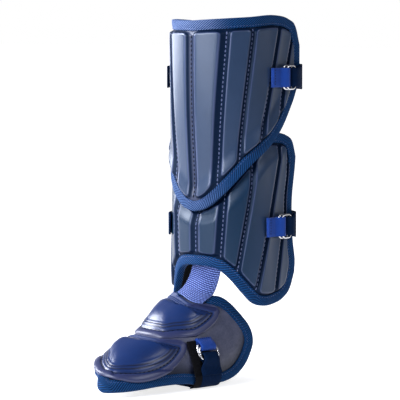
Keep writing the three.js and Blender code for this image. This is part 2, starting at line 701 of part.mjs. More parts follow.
// A cinch: a tab sewn to the padding, folded round two rings, and the fold of the strap that they hold.
// Lengths run from the tab's sewn end towards the strap, lifts from the padding outward.
function cinch({ origin, along, out, across, tabLength }) {
  const place = (length, lift, width = 0) =>
    origin.clone().addScaledVector(along, length).addScaledVector(out, lift).addScaledVector(across, width);
  const fold = tabLength - (WIRE_HIGH - WIRE_LOW + WIRE) / 2 - WIRE_GAP - TAB_THICKNESS;
  const upperFront = fold - RING_PLAY;
  const lowerFront = upperFront - RING_OFFSET;
  const bar = lowerFront + RING_LENGTH;
  const layers = (thickness) => [
    WIRE_LOW - WIRE / 2 - WIRE_GAP - thickness / 2,
    WIRE_HIGH + WIRE / 2 + WIRE_GAP + thickness / 2,
  ];
  const [tabLow, tabHigh] = layers(TAB_THICKNESS);
  const sewn = tabLow + TAB_THICKNESS + WIRE_GAP;
  const tabPath = [
    [0, tabLow],
    ...foldPoints(fold, tabLow, tabHigh, 1),
    [fold - TAB_CREASE.back, tabHigh - TAB_CREASE.down],
    [fold - TAB_SEAM, sewn],
    [0, sewn],
  ];
  const [strapLow, strapHigh] = layers(STRAP_THICKNESS);
  const strapFold = foldPoints(bar, strapLow, strapHigh, -1).reverse();
  return {
    tab: flatStrip(tabPath.map(([a, h]) => place(a, h)), across, TAB_THICKNESS, () => TAB_WIDTH),
    rings: [wireRing(place, lowerFront, WIRE_LOW), wireRing(place, upperFront, WIRE_HIGH)],
    overBars: [bar + RING_OFFSET + BAR_CLEAR, strapHigh],
    strapFold,
    strapLow,
    place,
  };
}

// A strap strip: wide at its ends, gathered where it goes through the rings
function strapStrip(doubled, fold, main, across) {
  const points = [...doubled, ...fold, ...main];
  const gathered = (k) => k >= doubled.length - 1 && k <= doubled.length + fold.length;
  return flatStrip(points, across, STRAP_THICKNESS, (k) => (gathered(k) ? STRAP_NECK : STRAP_WIDTH));
}

// A calf strap with its cinch on the outer side, round the back of the calf and sewn on the inner side
function calfStrap({ arc, height, edgeArc, sewnArc }) {
  const radiusAt = (level) => lookUp(LEG_SECTIONS, "height", level, "radius");
  const radius = Math.max(radiusAt(height - STRAP_WIDTH / 2), radiusAt(height + STRAP_WIDTH / 2));
  const quarter = (radiusAt(height) * Math.PI) / 2;
  const origin = new THREE.Vector3(radius + RIB_LIFT, arc - quarter, height);
  const across = new THREE.Vector3(0, 0, 1);
  const parts = cinch({
    origin,
    along: new THREE.Vector3(0, 1, 0),
    out: new THREE.Vector3(1, 0, 0),
    across,
    tabLength: CALF_TAB_LENGTH,
  });
  const loop = (degrees, out) => {
    const angle = THREE.MathUtils.degToRad(degrees);
    const drawn = (x) => Math.sign(x) * Math.abs(x) ** LOOP_POWER;
    return new THREE.Vector3(
      (radius + EDGE_LIFT + out) * drawn(Math.cos(angle)),
      edgeArc - quarter + (LOOP_DEPTH + out) * drawn(Math.sin(angle)),
      height,
    );
  };
  const lapEnd = loop(0, STRAP_THICKNESS + STRAP_LAP).setY(edgeArc - quarter - LAP_END);
  const doubled = [lapEnd, parts.place(...parts.overBars)];
  const fold = parts.strapFold.map(([a, h]) => parts.place(a, h));
  const main = Array.from({ length: LOOP_STEPS + 1 }, (_, k) => loop((180 * k) / LOOP_STEPS, 0));
  const sewnLift = radius - radiusAt(height) + RIB_LIFT + parts.strapLow;
  for (let sewn = edgeArc - EDGE_RUN; sewn > sewnArc; sewn -= SEWN_STEP)
    main.push(legPoint(-sewn, height, sewnLift));
  main.push(legPoint(-sewnArc, height, sewnLift));
  return { ...parts, strap: strapStrip(doubled, fold, main, across) };
}

// The foot strap: its cinch hangs under the instep cap, and the strap goes under the sole to the inner side
function footStrap() {
  const origin = footPoint(FOOT_TAB_TURN, FOOT_STRAP_AHEAD, PAD_LIFT);
  const below = footPoint(FOOT_TAB_TURN + FOOT_TAB_SPAN, FOOT_STRAP_AHEAD, PAD_LIFT);
  const along = below.sub(origin).normalize();
  const across = fromFoot(1, 0, 0);
  const out = new THREE.Vector3().crossVectors(across, along).normalize();
  if (out.z < 0) out.negate();
  const parts = cinch({ origin, along, out, across, tabLength: FOOT_TAB_LENGTH });
  const fold = parts.strapFold.map(([a, h]) => parts.place(a, h));
  const [barEnd, barLift] = parts.overBars;
  const lapped = parts.strapLow + STRAP_THICKNESS + STRAP_LAP;
  const doubled = [
    parts.place(barEnd + FOOT_LAP, lapped),
    parts.place(barEnd + FOOT_LAP / 2, lapped),
    parts.place(barEnd, barLift),
  ];
  const main = [parts.place(barEnd + FOOT_LAP, parts.strapLow)];
  const wall = (side) => lookUp(FOOT_SECTIONS, "ahead", FOOT_STRAP_AHEAD, side) + FOOT_STRAP_CLEAR[side];
  for (const { inward, up } of SOLE_BEND) main.push(fromFoot(FOOT_STRAP_AHEAD, wall("half") - inward, up));
  for (const { inward, up } of SOLE_BEND.toReversed())
    main.push(fromFoot(FOOT_STRAP_AHEAD, inward - wall("inner"), up));
  for (let step = 0; step <= FOOT_SEWN_STEPS; step += 1) {
    const share = step / FOOT_SEWN_STEPS;
    const turn = FOOT_LOW_TURN + (FOOT_SEWN_TURN - FOOT_LOW_TURN) * share;
    main.push(footPoint(-turn, FOOT_STRAP_AHEAD, FOOT_SEWN_LIFT + FOOT_SEWN_RISE * (1 - share)));
  }
  return { ...parts, strap: strapStrip(doubled, fold, main, across) };
}

const guard = new THREE.Group();
guard.name = "batters_leg_and_foot_guard";
function add(name, geometry, material) {
  const mesh = new THREE.Mesh(geometry.translate(0, 0, -SEAT_HEIGHT), material);
  mesh.name = name;
  guard.add(mesh);
}

const upper = shinPanel({
  channels: UPPER_CHANNELS,
  footEdge: UPPER_FOOT_EDGE,
  innerFootEdge: UPPER_FOOT_EDGE,
  topEdge: UPPER_TOP_EDGE,
  innerTopEdge: UPPER_INNER_TOP_EDGE,
  sideEdge: UPPER_SIDE_EDGE,
  tuck: 0,
  flare: FLARE,
});
const lower = shinPanel({
  channels: LOWER_CHANNELS,
  footEdge: LOWER_FOOT_EDGE,
  innerFootEdge: LOWER_INNER_FOOT_EDGE,
  topEdge: LOWER_TOP_EDGE,
  innerTopEdge: LOWER_TOP_EDGE,
  sideEdge: LOWER_SIDE_EDGE,
  tuck: TUCK_DEPTH,
  flare: 0,
});
const pad = footPad();
add("upper_panel", upper.padding, NAVY_VINYL);
add("upper_binding", upper.tape, BLUE_TAPE);
add("lower_panel", lower.padding, NAVY_VINYL);
add("lower_binding", lower.tape, BLUE_TAPE);
add("ankle_webbing", ankleWebbing(), PALE_WEBBING);
add("foot_pad", pad.padding, NAVY_VINYL);
add("foot_binding", pad.tape, BLUE_TAPE);
add("instep_cap", footCap(INSTEP_CAP_EDGE), MOULDED_NAVY);
add("toe_cap", footCap(TOE_CAP_EDGE), MOULDED_NAVY);

const strapped = {
  upper: calfStrap(UPPER_STRAP),
  lower: calfStrap(LOWER_STRAP),
  foot: footStrap(),
};
for (const [place, { tab, rings, strap }] of Object.entries(strapped)) {
  add(`${place}_tab`, tab, BRIGHT_WEBBING);
  add(`${place}_ring_inner`, rings[0], NICKEL);
  add(`${place}_ring_outer`, rings[1], NICKEL);
  add(`${place}_strap`, strap, NAVY_ELASTIC);
}

export default guard;
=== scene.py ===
"""Looks of a batter's leg and foot guard for the left leg, in the order in which the guard is put together.

Sizes are in millimetres, and heights are above the sole, as the guard is drawn. new_piece() turns them into
the frame's metres. The toe points along -Y, and the outer side of the leg is +X.
"""

import math

import bmesh
import bpy
import numpy as np
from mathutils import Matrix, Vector


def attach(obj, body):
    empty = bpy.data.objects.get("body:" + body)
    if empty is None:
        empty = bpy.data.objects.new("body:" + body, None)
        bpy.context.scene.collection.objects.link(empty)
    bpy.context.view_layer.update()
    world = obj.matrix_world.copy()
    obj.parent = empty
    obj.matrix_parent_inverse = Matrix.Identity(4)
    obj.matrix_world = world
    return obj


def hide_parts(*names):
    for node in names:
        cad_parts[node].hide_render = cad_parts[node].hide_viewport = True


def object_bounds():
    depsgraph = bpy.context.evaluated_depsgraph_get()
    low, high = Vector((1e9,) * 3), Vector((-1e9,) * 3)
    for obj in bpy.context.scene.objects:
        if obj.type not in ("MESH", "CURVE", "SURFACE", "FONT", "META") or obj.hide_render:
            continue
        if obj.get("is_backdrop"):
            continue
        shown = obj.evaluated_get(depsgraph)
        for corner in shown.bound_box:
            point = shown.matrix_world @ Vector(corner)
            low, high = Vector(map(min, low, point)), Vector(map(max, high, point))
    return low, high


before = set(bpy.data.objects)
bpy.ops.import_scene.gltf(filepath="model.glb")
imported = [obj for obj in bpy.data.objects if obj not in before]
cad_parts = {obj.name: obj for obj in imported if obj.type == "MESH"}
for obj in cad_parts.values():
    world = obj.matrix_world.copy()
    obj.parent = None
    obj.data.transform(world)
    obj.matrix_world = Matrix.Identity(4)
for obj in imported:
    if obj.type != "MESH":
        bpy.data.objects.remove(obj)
cad_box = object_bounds()

# Shin panels. Two shells of firm foam ribs under satin navy vinyl, sewn flat along channels that fan out
# from the front, each backed by a black knitted lining. The upper panel's foot hangs over the lower's top.
SEAT_HEIGHT = 260  # of the frame's origin, which is on the leg's axis
TAPE_WIDTH = 8.6
FLAT_MARGIN = 9.2  # the edge of a panel is pressed flat this far in
MARGIN_LIFT, CHANNEL_LIFT, RIB_LIFT = 3.9, 5.4, 8.5  # above the lining
LIT_FRONT_CHANNEL = (6.0, 9.0)  # half the width of the front channel painted lighter, where it ends
OVERHANG_SHADE_ARC = (45, 85)  # arcs where the painted shade on the lower panel's front, under the upper one, dies out
RIB_SLOPE, END_SLOPE = 4.4, 2.8  # of a rib's usual flank and of its ends
RIB_FLANKS = [(5.2, 6.6), (3.4, 2.8), (2.8, 3.0), (3, 3), (3, 3), (4, 4)]  # front and rear, then the margin's
NARROW_FLANK = 0.25  # the most of a rib's width that a flank takes
BEVEL = 0.55  # how straight a flank is, the rest being rounded
CHANNEL_HALF = 0.9
RIB_CORNER = 8.0  # radius of a rib's rounded ends
RIB_FLATNESS = 0.75  # share of the leg's roundness that the boards inside the ribs take out
LAST_RIB, NARROW_RIB = 3, 7  # least widths of the last rib and of those before it
TUCK_REACH, TUCK_HALF, TUCK_SIDE = 18, 98, 30  # a bent edge's depth, half its arc and how it dies out
LINING_THICKNESS, LINING_CLEAR = 0.7, 0.02  # the second keeps it a hair's breadth off the foam
RIB_COLUMNS, MARGIN_COLUMNS, PANEL_ROWS = 22, 5, 96
COLUMN_CROWDING, ROW_CROWDING = 0.6, 0.72  # towards a rib's walls and ends
EDGE_REACH = 120  # no edge strays further than this from its height on the centre line
LEG = {
    "height": [60, 130, 200, 300, 405],
    "radius": [56, 56, 53.5, 53, 53],
    "flatness": [0.8, 0.8, 0.86, 0.98, 1],
}
UPPER_FOOT = {"arc": [0, 12, 28, 60, 97, 127, 138.5], "height": [189.5, 193, 206, 241, 271, 306, 331]}
LOWER_TOP = {
    "arc": [0, 12, 28, 60, 88, 106, 119, 127, 132],
    "height": [196.5, 200.5, 215, 249, 268, 269, 266, 259, 244],
}
UPPER_PANEL = {
    "painted_front_light": 1.0,
    "foot": UPPER_FOOT,
    "inner_foot": UPPER_FOOT,
    "top": {"arc": [0, 60, 100, 121, 132, 138.5], "height": [391.5, 395, 397, 393, 385, 366]},
    "inner_top": {"arc": [0, 70, 100, 121, 132, 138.5], "height": [391.5, 392.5, 390, 384, 376, 359]},
    "side": {"height": [188, 400], "arc": [138.5, 138.5]},
    "channel_heights": (188, 394),
    "channel_arcs": [(23.7, 38.7), (41.5, 66), (53, 104), (72, 130)],  # at those two heights
    "flare": 3.6,
    "tuck": 0,
}
LOWER_PANEL = {
    "painted_front_light": 0.0,
    "foot": {
        "arc": [0, 14, 25, 38, 54, 66, 80, 97, 112, 124, 131],
        "height": [130.5, 130, 127.5, 117.5, 100.5, 90, 86.5, 87.5, 92, 102, 118],
    },
    "inner_foot": {
        "arc": [0, 14, 25, 33, 40, 49, 64, 80, 97, 112, 124, 131],
        "height": [130.5, 130, 126, 118, 105, 94, 88, 86.5, 87.5, 92, 102, 118],
    },
    "top": LOWER_TOP,
    "inner_top": LOWER_TOP,
    "side": {
        "height": [86, 118, 130, 152, 196, 240, 272],
        "arc": [130, 131, 132, 128, 125.5, 131.5, 132.5],
    },
    "channel_heights": (84, 270),
    "channel_arcs": [(24.5, 37), (39.7, 71), (63.7, 109), (95, 129)],
    "flare": 0,
    "tuck": 5.2,
}
PANELS = {"upper": UPPER_PANEL, "lower": LOWER_PANEL}


def look_up(table, key, x, column):
    """Smooth value of one column of a table over its key column."""
    keys, values = np.array(table[key], float), np.array(table[column], float)
    chord = np.diff(values) / np.diff(keys)
    slope = np.concatenate([chord[:1], (chord[1:] + chord[:-1]) / 2, chord[-1:]])
    x = np.clip(x, keys[0], keys[-1])
    i = np.clip(np.searchsorted(keys, x) - 1, 0, len(keys) - 2)
    span = keys[i + 1] - keys[i]
    t = (x - keys[i]) / span
    bend = t * (1 - t) ** 2 * slope[i] - t * t * (1 - t) * slope[i + 1]
    return values[i] + t * t * (3 - 2 * t) * (values[i + 1] - values[i]) + span * bend


def ease(x, low, high):
    """Goes smoothly from 0 at low to 1 at high."""
    t = np.clip((x - low) / (high - low), 0, 1)
    return t * t * (3 - 2 * t)


def leg_point(arc, height, lift):
    """Points over the leg: arc from the front centre line, height, and lift off the lining."""
    radius = look_up(LEG, "height", height, "radius")
    flatness = look_up(LEG, "height", height, "flatness")
    turn = np.clip(arc / radius, -math.pi / 2, math.pi / 2)
    behind = np.maximum(np.abs(arc) - radius * math.pi / 2, 0)
    x = (radius + lift) * np.sin(turn)
    y = behind - (radius * flatness + lift) * np.cos(turn)
    return np.stack([x, y, height + 0 * x], -1)


def distance_to_line(line, u, v):
    """Distance of points from a row of points joined by straight lines."""
    start, along = line[:-1], np.diff(line, axis=0)
    offset = np.stack([u, v], -1)[..., None, :] - start
    share = np.clip((offset * along).sum(-1) / (along * along).sum(-1), 0, 1)
    return np.linalg.norm(offset - share[..., None] * along, axis=-1).min(-1)


def edge_line(edge, count=80):
    """Points along an edge of a panel, as arc and height."""
    arc = np.linspace(0, edge["arc"][-1], count)
    return np.stack([arc, look_up(edge, "arc", arc, "height")], -1)


def crossing(rising, low, high):
    """Where rising functions, one for each column, cross zero."""
    for _ in range(40):
        middle = (low + high) / 2
        below = rising(middle) < 0
        low, high = np.where(below, middle, low), np.where(below, high, middle)
    return (low + high) / 2


def crowded_ends(count, crowding):
    """Shares from 0 to 1 that lie closer together towards both ends."""
    t = np.linspace(0, 1, count)
    return t - crowding * np.sin(2 * math.pi * t) / (2 * math.pi)


def channel_walls(panel, height):
    """Arcs of the front centre line, the channels, the flat margin and the side edge at a height."""
    low, high = panel["channel_heights"]
    edge = look_up(panel["side"], "height", height, "arc")
    walls = [0 * height]
    count = len(panel["channel_arcs"])
    for number, (foot_arc, top_arc) in enumerate(panel["channel_arcs"], 1):
        fanned = foot_arc + (top_arc - foot_arc) * (height - low) / (high - low)
        walls.append(np.minimum(fanned, edge - FLAT_MARGIN - LAST_RIB - NARROW_RIB * (count - number)))
    return np.stack([*walls, edge - FLAT_MARGIN, edge])


def panel_bend(panel, arc, height):
    """How far a panel's overlapping edge is bent outward there."""
    out = np.abs(arc)

    def near(edge):
        away = distance_to_line(edge_line(panel[edge]), out, height)
        return 1 - ease(away - TAPE_WIDTH, 0, TUCK_REACH)

    foot = np.where(arc < 0, near("inner_foot"), near("foot"))
    middle = 1 - ease(out - TUCK_HALF, 0, TUCK_SIDE)
    return middle * (panel["flare"] * foot - panel["tuck"] * near("top"))


def ends_of(panel, side):
    """Foot and top edge of a panel's outer half, or of its inner one where side is -1."""
    return [panel[edge if side > 0 else f"inner_{edge}"] for edge in ("foot", "top")]


def distance_to_ends(ends, arc, height):
    """Distance from the nearer of those two edges."""
    return np.minimum(*(distance_to_line(edge_line(edge), arc, height) for edge in ends))


def half_panel(panel, side):
    """Arc, height, lift and relief over a grid of one half of a panel, from the front centre line outward."""
    foot, top = ends_of(panel, side)
    ribs = len(panel["channel_arcs"]) + 1
    shares = crowded_ends(RIB_COLUMNS, COLUMN_CROWDING)[:-1]
    rib = np.concatenate([np.repeat(np.arange(ribs), len(shares)), np.full(MARGIN_COLUMNS, ribs)])
    share = np.concatenate([np.tile(shares, ribs), np.linspace(0, 1, MARGIN_COLUMNS)])
    column = np.arange(len(rib))

    def between_walls(height):
        walls = channel_walls(panel, height)
        start, end = walls[rib, column], walls[rib + 1, column]
        across = share.reshape(-1, *[1] * (height.ndim - 1))
        return start + (end - start) * across, start, end

    def above(edge):
        return lambda height: height - look_up(edge, "arc", between_walls(height)[0], "height")

    wide = np.ones(len(rib))
    lowest = crossing(above(foot), wide * (foot["height"][0] - EDGE_REACH), wide * top["height"][0])
    highest = crossing(above(top), lowest, wide * (top["height"][0] + EDGE_REACH))
    height = lowest[:, None] + (highest - lowest)[:, None] * crowded_ends(PANEL_ROWS, ROW_CROWDING)
    arc, start, end = between_walls(height)
    from_end = distance_to_ends((foot, top), arc, height) - FLAT_MARGIN
    front, rear = np.array(RIB_FLANKS)[rib].T[..., None] / RIB_SLOPE
    from_wall = np.minimum((arc - start - CHANNEL_HALF) / front, (end - arc - CHANNEL_HALF) / rear)
    from_channel = np.where((rib < ribs)[:, None], from_wall, 0)
    from_tip = from_end * RIB_SLOPE / END_SLOPE
    corner = np.hypot(np.maximum(RIB_CORNER - from_tip, 0), np.maximum(RIB_CORNER - from_channel, 0))
    near_corner = np.minimum(from_tip, from_channel) < RIB_CORNER
    depth = np.where(near_corner, RIB_CORNER - corner, RIB_CORNER)
    slope = np.minimum(RIB_SLOPE, (end - start) * NARROW_FLANK)
    ramp = np.clip(depth / slope, 0, 1)
    relief = BEVEL * ramp + (1 - BEVEL) * ease(ramp, 0, 1)
    half_top = np.maximum((end - start) / 2 - slope * (front + rear) / 2, 1)
    middle = (start + end + slope * (front - rear)) / 2
    from_middle = np.clip(np.abs(arc - middle) / half_top, 0, 1)
    bulge = half_top**2 / (2 * look_up(LEG, "height", height, "radius"))
    rib_top = RIB_LIFT + RIB_FLATNESS * bulge * (from_middle**2 - 0.5)
    floor = MARGIN_LIFT + (CHANNEL_LIFT - MARGIN_LIFT) * ease(from_end, 0, RIB_SLOPE) * (rib < ribs)[:, None]
    return side * arc, height, floor + (rib_top - floor) * relief, relief


def whole_panel(panel):
    """The same four grids over both halves, from the inner side edge round to the outer one."""
    inner, outer = half_panel(panel, -1), half_panel(panel, 1)
    return [np.concatenate([a[:0:-1], b]) for a, b in zip(inner, outer)]


def grid_faces(columns, rows, wrap_columns=False, wrap_rows=False):
    """Faces of a grid of points, and each corner's column and row, counted on past the end where it wraps."""
    i, j = np.meshgrid(
        np.arange(columns - 1 + wrap_columns), np.arange(rows - 1 + wrap_rows), indexing="ij"
    )
    corners = np.stack([np.stack([i + a, j + b], -1) for a, b in ((0, 0), (1, 0), (1, 1), (0, 1))], -2)
    corners = corners.reshape(-1, 4, 2)
    faces = (corners[..., 0] % columns) * rows + corners[..., 1] % rows
    return faces, corners


def new_piece(name, points, faces, finish, cloth=None, shades=None):
    """A smooth-shaded object on the guard, from points in millimetres. cloth holds each face corner's place
    on the material in millimetres, and shades are values at the points that the finish reads by name."""
    place = (np.reshape(points, (-1, 3)) - (0, 0, SEAT_HEIGHT)) / 1000
    mesh = bpy.data.meshes.new(name)
    mesh.from_pydata(place.tolist(), [], [list(face) for face in faces])
    if cloth is not None:
        mesh.uv_layers.new(name="cloth").data.foreach_set("uv", np.ravel(cloth).astype(np.float32))
    for shade, values in (shades or {}).items():
        attribute = mesh.attributes.new(shade, "FLOAT", "POINT")
        attribute.data.foreach_set("value", np.ravel(values).astype(np.float32))
    turned = bmesh.new()
    turned.from_mesh(mesh)
    bmesh.ops.recalc_face_normals(turned, faces=turned.faces)
    turned.to_mesh(mesh)
    turned.free()
    mesh.shade_smooth()
    mesh.materials.append(finish.owner)
    piece = bpy.data.objects.new(name, mesh)
    bpy.context.scene.collection.objects.link(piece)
    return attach(piece, "root")


def two_sided(name, over, under, faces, rim, cloth, finish, shades):
    """A closed sheet between two sets of points that have the same faces, walled along a closed rim."""
    count = over.size // 3
    spots = np.reshape(cloth, (-1, 2))
    after = np.roll(rim, -1)
    wall = np.stack([rim, rim + count, after + count, after], -1).tolist()
    back = [[corner + count for corner in face[::-1]] for face in faces]
    everywhere = faces + back + wall
    places = np.concatenate([spots[np.array(face) % count] for face in everywhere])
    doubled = {shade: np.tile(np.ravel(values), 2) for shade, values in (shades or {}).items()}
    return new_piece(name, np.stack([over, under]), everywhere, finish, places, doubled)


def closed_sheet(name, over, under, cloth, finish, shades=None):
    """A closed sheet between two grids of points."""
    columns, rows = over.shape[:2]
    at = np.arange(columns * rows).reshape(columns, rows)
    rim = np.concatenate([at[:-1, 0], at[-1, :-1], at[:0:-1, -1], at[0, :0:-1]])
    faces = grid_faces(columns, rows)[0].tolist()
    return two_sided(name, over, under, faces, rim, cloth, finish, shades)


class Value:
    """One output of a node, which takes part in sums as a number does."""

    def __init__(self, finish, socket):
        self.finish, self.socket = finish, socket

    def math(self, operation, *terms):
        return self.finish.node("ShaderNodeMath", {"operation": operation}, dict(enumerate(terms)))

    def __add__(self, other):
        return self.math("ADD", self, other)

    def __sub__(self, other):
        return self.math("SUBTRACT", self, other)

    def __rsub__(self, other):
        return self.math("SUBTRACT", other, self)

    def __mul__(self, other):
        return self.math("MULTIPLY", self, other)

    __radd__ = __add__
    __rmul__ = __mul__

    def wave(self, pitch):
        """A wave from 0 to 1 that repeats after that length."""
        return self.math("SINE", self * (2 * math.pi / pitch)) * 0.5 + 0.5

    def clamped(self, low, high):
        """From 0 at low to 1 at high, and held beyond them."""
        limits = {"From Min": low, "From Max": high}
        return self.finish.node("ShaderNodeMapRange", {"clamp": True}, {"Value": self, **limits})


class Finish:
    """A material, or the world: its shader's even values, and nodes for what changes over the surface."""

    def __init__(self, owner, shader="Principled BSDF", **even):
        self.owner = bpy.data.materials.new(owner) if isinstance(owner, str) else owner
        self.owner.use_nodes = True
        self.tree = self.owner.node_tree
        self.shader = self.tree.nodes[shader]
        self.drive(**even)

    def node(self, kind, settings=None, inputs=None, output=0):
        made = self.tree.nodes.new(kind)
        for setting, value in (settings or {}).items():
            setattr(made, setting, value)
        for socket, value in (inputs or {}).items():
            self.feed(made.inputs[socket], value)
        return Value(self, made.outputs[output])

    def feed(self, socket, value):
        if isinstance(value, Value):
            self.tree.links.new(value.socket, socket)
        else:
            socket.default_value = value

    def drive(self, **sockets):
        for socket, value in sockets.items():
            self.feed(self.shader.inputs[socket.replace("_", " ")], value)

    def mix(self, share, first, second):
        return self.node("ShaderNodeMix", {"data_type": "RGBA"}, {0: share, 6: first, 7: second}, 2)

    def cloth(self):
        """Place along and across the cloth in millimetres."""
        spot = self.node("ShaderNodeUVMap", {"uv_map": "cloth"})
        return [self.node("ShaderNodeSeparateXYZ", {}, {"Vector": spot}, axis) for axis in (0, 1)]

    def shade(self, name):
        return self.node("ShaderNodeAttribute", {"attribute_name": name}, {}, "Fac")

    def space(self):
        return self.node("ShaderNodeTexCoord", {}, {}, "Object")

    def noise(self, grain):
        """Soft blotches of about that size in millimetres, from 0 to 1."""
        sizes = {"Vector": self.space(), "Scale": 1000 / grain, "Detail": 3.0}
        return self.node("ShaderNodeTexNoise", {}, sizes)

    def uneven(self, middle, spread, grain):
        """A value that wanders by that spread over such blotches."""
        return middle + spread * (self.noise(grain) - 0.5)

    def cells(self, grain):
        """Distance from the middle of pebbles of about that size in millimetres."""
        return self.node("ShaderNodeTexVoronoi", {}, {"Vector": self.space(), "Scale": 1000 / grain})

    def raise_surface(self, height, depth):
        """Relief of that depth in millimetres."""
        relief = {"Height": height, "Distance": depth / 1000}
        self.drive(Normal=self.node("ShaderNodeBump", {}, relief))


def srgb(*levels):
    """A colour from 0 to 255 as the shader takes it."""
    shares = [level / 255 for level in levels]
    return (*[c / 12.92 if c <= 0.04045 else ((c + 0.055) / 1.055) ** 2.4 for c in shares], 1)


vinyl = Finish(
    "satin_navy_vinyl", Coat_Roughness=0.34, Specular_IOR_Level=0.16, Specular_Tint=srgb(200, 226, 255)
)
relief, overhang_shade = vinyl.shade("relief"), vinyl.shade("overhang_shade")
# Painted highlight: a paler line along each rib's shoulder.
painted_bevel_highlight = relief.clamped(0.7, 0.92) * (1 - relief.clamped(0.95, 1.0))
# Painted light: the upper panel's front centre channel is paler and glossier, as lit from ahead. Painted
# shade: all other channels, the flanks and the flat margin are dark navy.
front_channel_light = vinyl.shade("front") * (1 - relief.clamped(0.04, 0.4))
mottled_rib_colour = vinyl.mix(vinyl.noise(24), srgb(25, 44, 70), srgb(35, 53, 80))
# Painted shade: the lower panel's ribs are darker teal and less glossy in front, where the upper panel's foot
# overhangs them.
rib_colour = vinyl.mix(overhang_shade, mottled_rib_colour, srgb(6, 34, 58))
channel_shade_and_light = vinyl.mix(front_channel_light, srgb(2, 18, 42), srgb(34, 44, 72))
sewn_colour = vinyl.mix(relief.clamped(0.7, 1.0), channel_shade_and_light, rib_colour)
vinyl.drive(
    Base_Color=vinyl.mix(painted_bevel_highlight * 0.3, sewn_colour, srgb(92, 100, 138)),
    Roughness=vinyl.uneven(0.55, 0.1, 6) - 0.22 * relief,
    Coat_Weight=(0.7 - 0.3 * overhang_shade) * relief.clamped(0.75, 1.0) + 0.6 * front_channel_light,
)
vinyl.raise_surface(vinyl.cells(1.1) * 0.6 + vinyl.noise(0.5) * 0.4, 0.05)

knit = Finish("black_knit_lining", Specular_IOR_Level=0.1)
along, across = knit.cloth()
loops = along.wave(1.6) * across.wave(1.2)
knit.drive(
    Base_Color=knit.mix(loops, srgb(3, 3, 6), srgb(18, 19, 25)),
    Roughness=knit.uneven(0.85, 0.1, 5),
)
knit.raise_surface(loops, 0.25)

for name, panel in PANELS.items():
    arc, height, lift, relief = whole_panel(panel)
    bend = panel_bend(panel, arc, height)
    lined, back = (leg_point(arc, height, bend - depth) for depth in (0, LINING_THICKNESS))
    cloth = np.stack([arc, height], -1)
    shades = {
        "relief": relief,
        "front": panel["painted_front_light"] * (1 - ease(np.abs(arc), *LIT_FRONT_CHANNEL)),
        "overhang_shade": (1 - panel["painted_front_light"]) * (1 - ease(np.abs(arc), *OVERHANG_SHADE_ARC)),
    }
    over = leg_point(arc, height, lift + bend)
    cover = closed_sheet(f"{name}_panel_cover", over, lined, cloth, vinyl, shades)
    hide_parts(f"{name}_panel")
    face = lined + LINING_CLEAR * (back - lined)
    closed_sheet(f"{name}_panel_lining", face, back, cloth, knit)

# Quilting seams. A lockstitch of bonded navy thread runs down the front centre and along each channel of
# both panels, pulled tight so that every stitch sinks a little way into the vinyl. The upper panel's front
# seam is of a thicker thread that is nearly black.
CHANNEL_STITCH, FRONT_STITCH = (4.8, 4.1, 1.3), (4.8, 4.1, 1.7)  # pitch, length and thickness
STITCH_RINGS = {"along": [-0.5, -0.42, -0.2, 0.2, 0.42, 0.5], "girth": [0.3, 0.75, 1, 1, 0.75, 0.3]}
STITCH_FLATNESS, STITCH_SINK = 0.8, 0.9  # a stitch's height, and how deep its ends go, in thicknesses
THREAD_SIDES = 6
SEAM_HEIGHTS = np.arange(80.0, 400)


def path_length(points, closed=False):
    """Length run at each point of a path, with a last value for its end where it closes."""
    after = np.roll(points, -1, axis=0) if closed else points[1:]
    steps = np.linalg.norm(after - points[: len(after)], axis=-1)
    return np.concatenate([[0], np.cumsum(steps)])


def along_path(run, values, spots):
    """Values given at the points of a path, at other lengths along it."""
    return np.stack([np.interp(spots, run, values[:, k]) for k in range(values.shape[1])], -1)


def unit(vectors):
    """The same directions with a length of one."""
    return vectors / np.linalg.norm(vectors, axis=-1, keepdims=True)


def seam(name, paths, stitch, finish):
    """Rows of stitches. Each path is its points and the surface's normals there."""
    pitch, length, thickness = stitch
    turn = 2 * math.pi * np.arange(THREAD_SIDES) / THREAD_SIDES
    share = np.array(STITCH_RINGS["along"])[:, None]
    girth = np.array(STITCH_RINGS["girth"])[:, None] * thickness / 2
    run_in = share * length + 0 * turn
    rise = girth * STITCH_FLATNESS * np.sin(turn) - thickness * STITCH_SINK * (2 * share) ** 4
    width = girth * np.cos(turn)
    rows = []
    for points, normals in paths:
        run = path_length(points)
        centres = np.arange(pitch, run[-1] - pitch / 2, pitch)
        here, up = along_path(run, points, centres), unit(along_path(run, normals, centres))
        ahead = unit(along_path(run, points, centres + 0.5) - along_path(run, points, centres - 0.5))
        ways = ((run_in, ahead), (width, np.cross(up, ahead)), (rise, up))
        rows.append(here[:, None, None] + sum(size[..., None] * way[:, None, None] for size, way in ways))
    points = np.concatenate(rows)
    each = run_in.size
    one = grid_faces(len(share), THREAD_SIDES, wrap_rows=True)[0].tolist()
    one += [list(range(THREAD_SIDES))[::-1], list(range(each - THREAD_SIDES, each))]
    starts = range(0, each * len(points), each)
    faces = [[corner + start for corner in face] for start in starts for face in one]
    return new_piece(name, points, faces, finish)


def thread_finish(name, grain, depth, dark, light, **even):
    """Thread in two tones that follow its strands, which stand up by that depth."""
    finish = Finish(name, **even)
    strand = finish.noise(grain)
    finish.drive(Base_Color=finish.mix(strand, srgb(*dark), srgb(*light)))
    finish.raise_surface(strand, depth)
    return finish


thread = thread_finish(
    "bonded_navy_thread", 1.4, 0.12, (34, 48, 90), (92, 106, 150), Roughness=0.5, Sheen_Weight=0.3
)
dark_thread = thread_finish(
    "dark_bonded_thread", 1.4, 0.1, (1, 3, 12), (6, 12, 30), Roughness=0.6, Specular_IOR_Level=0.2
)

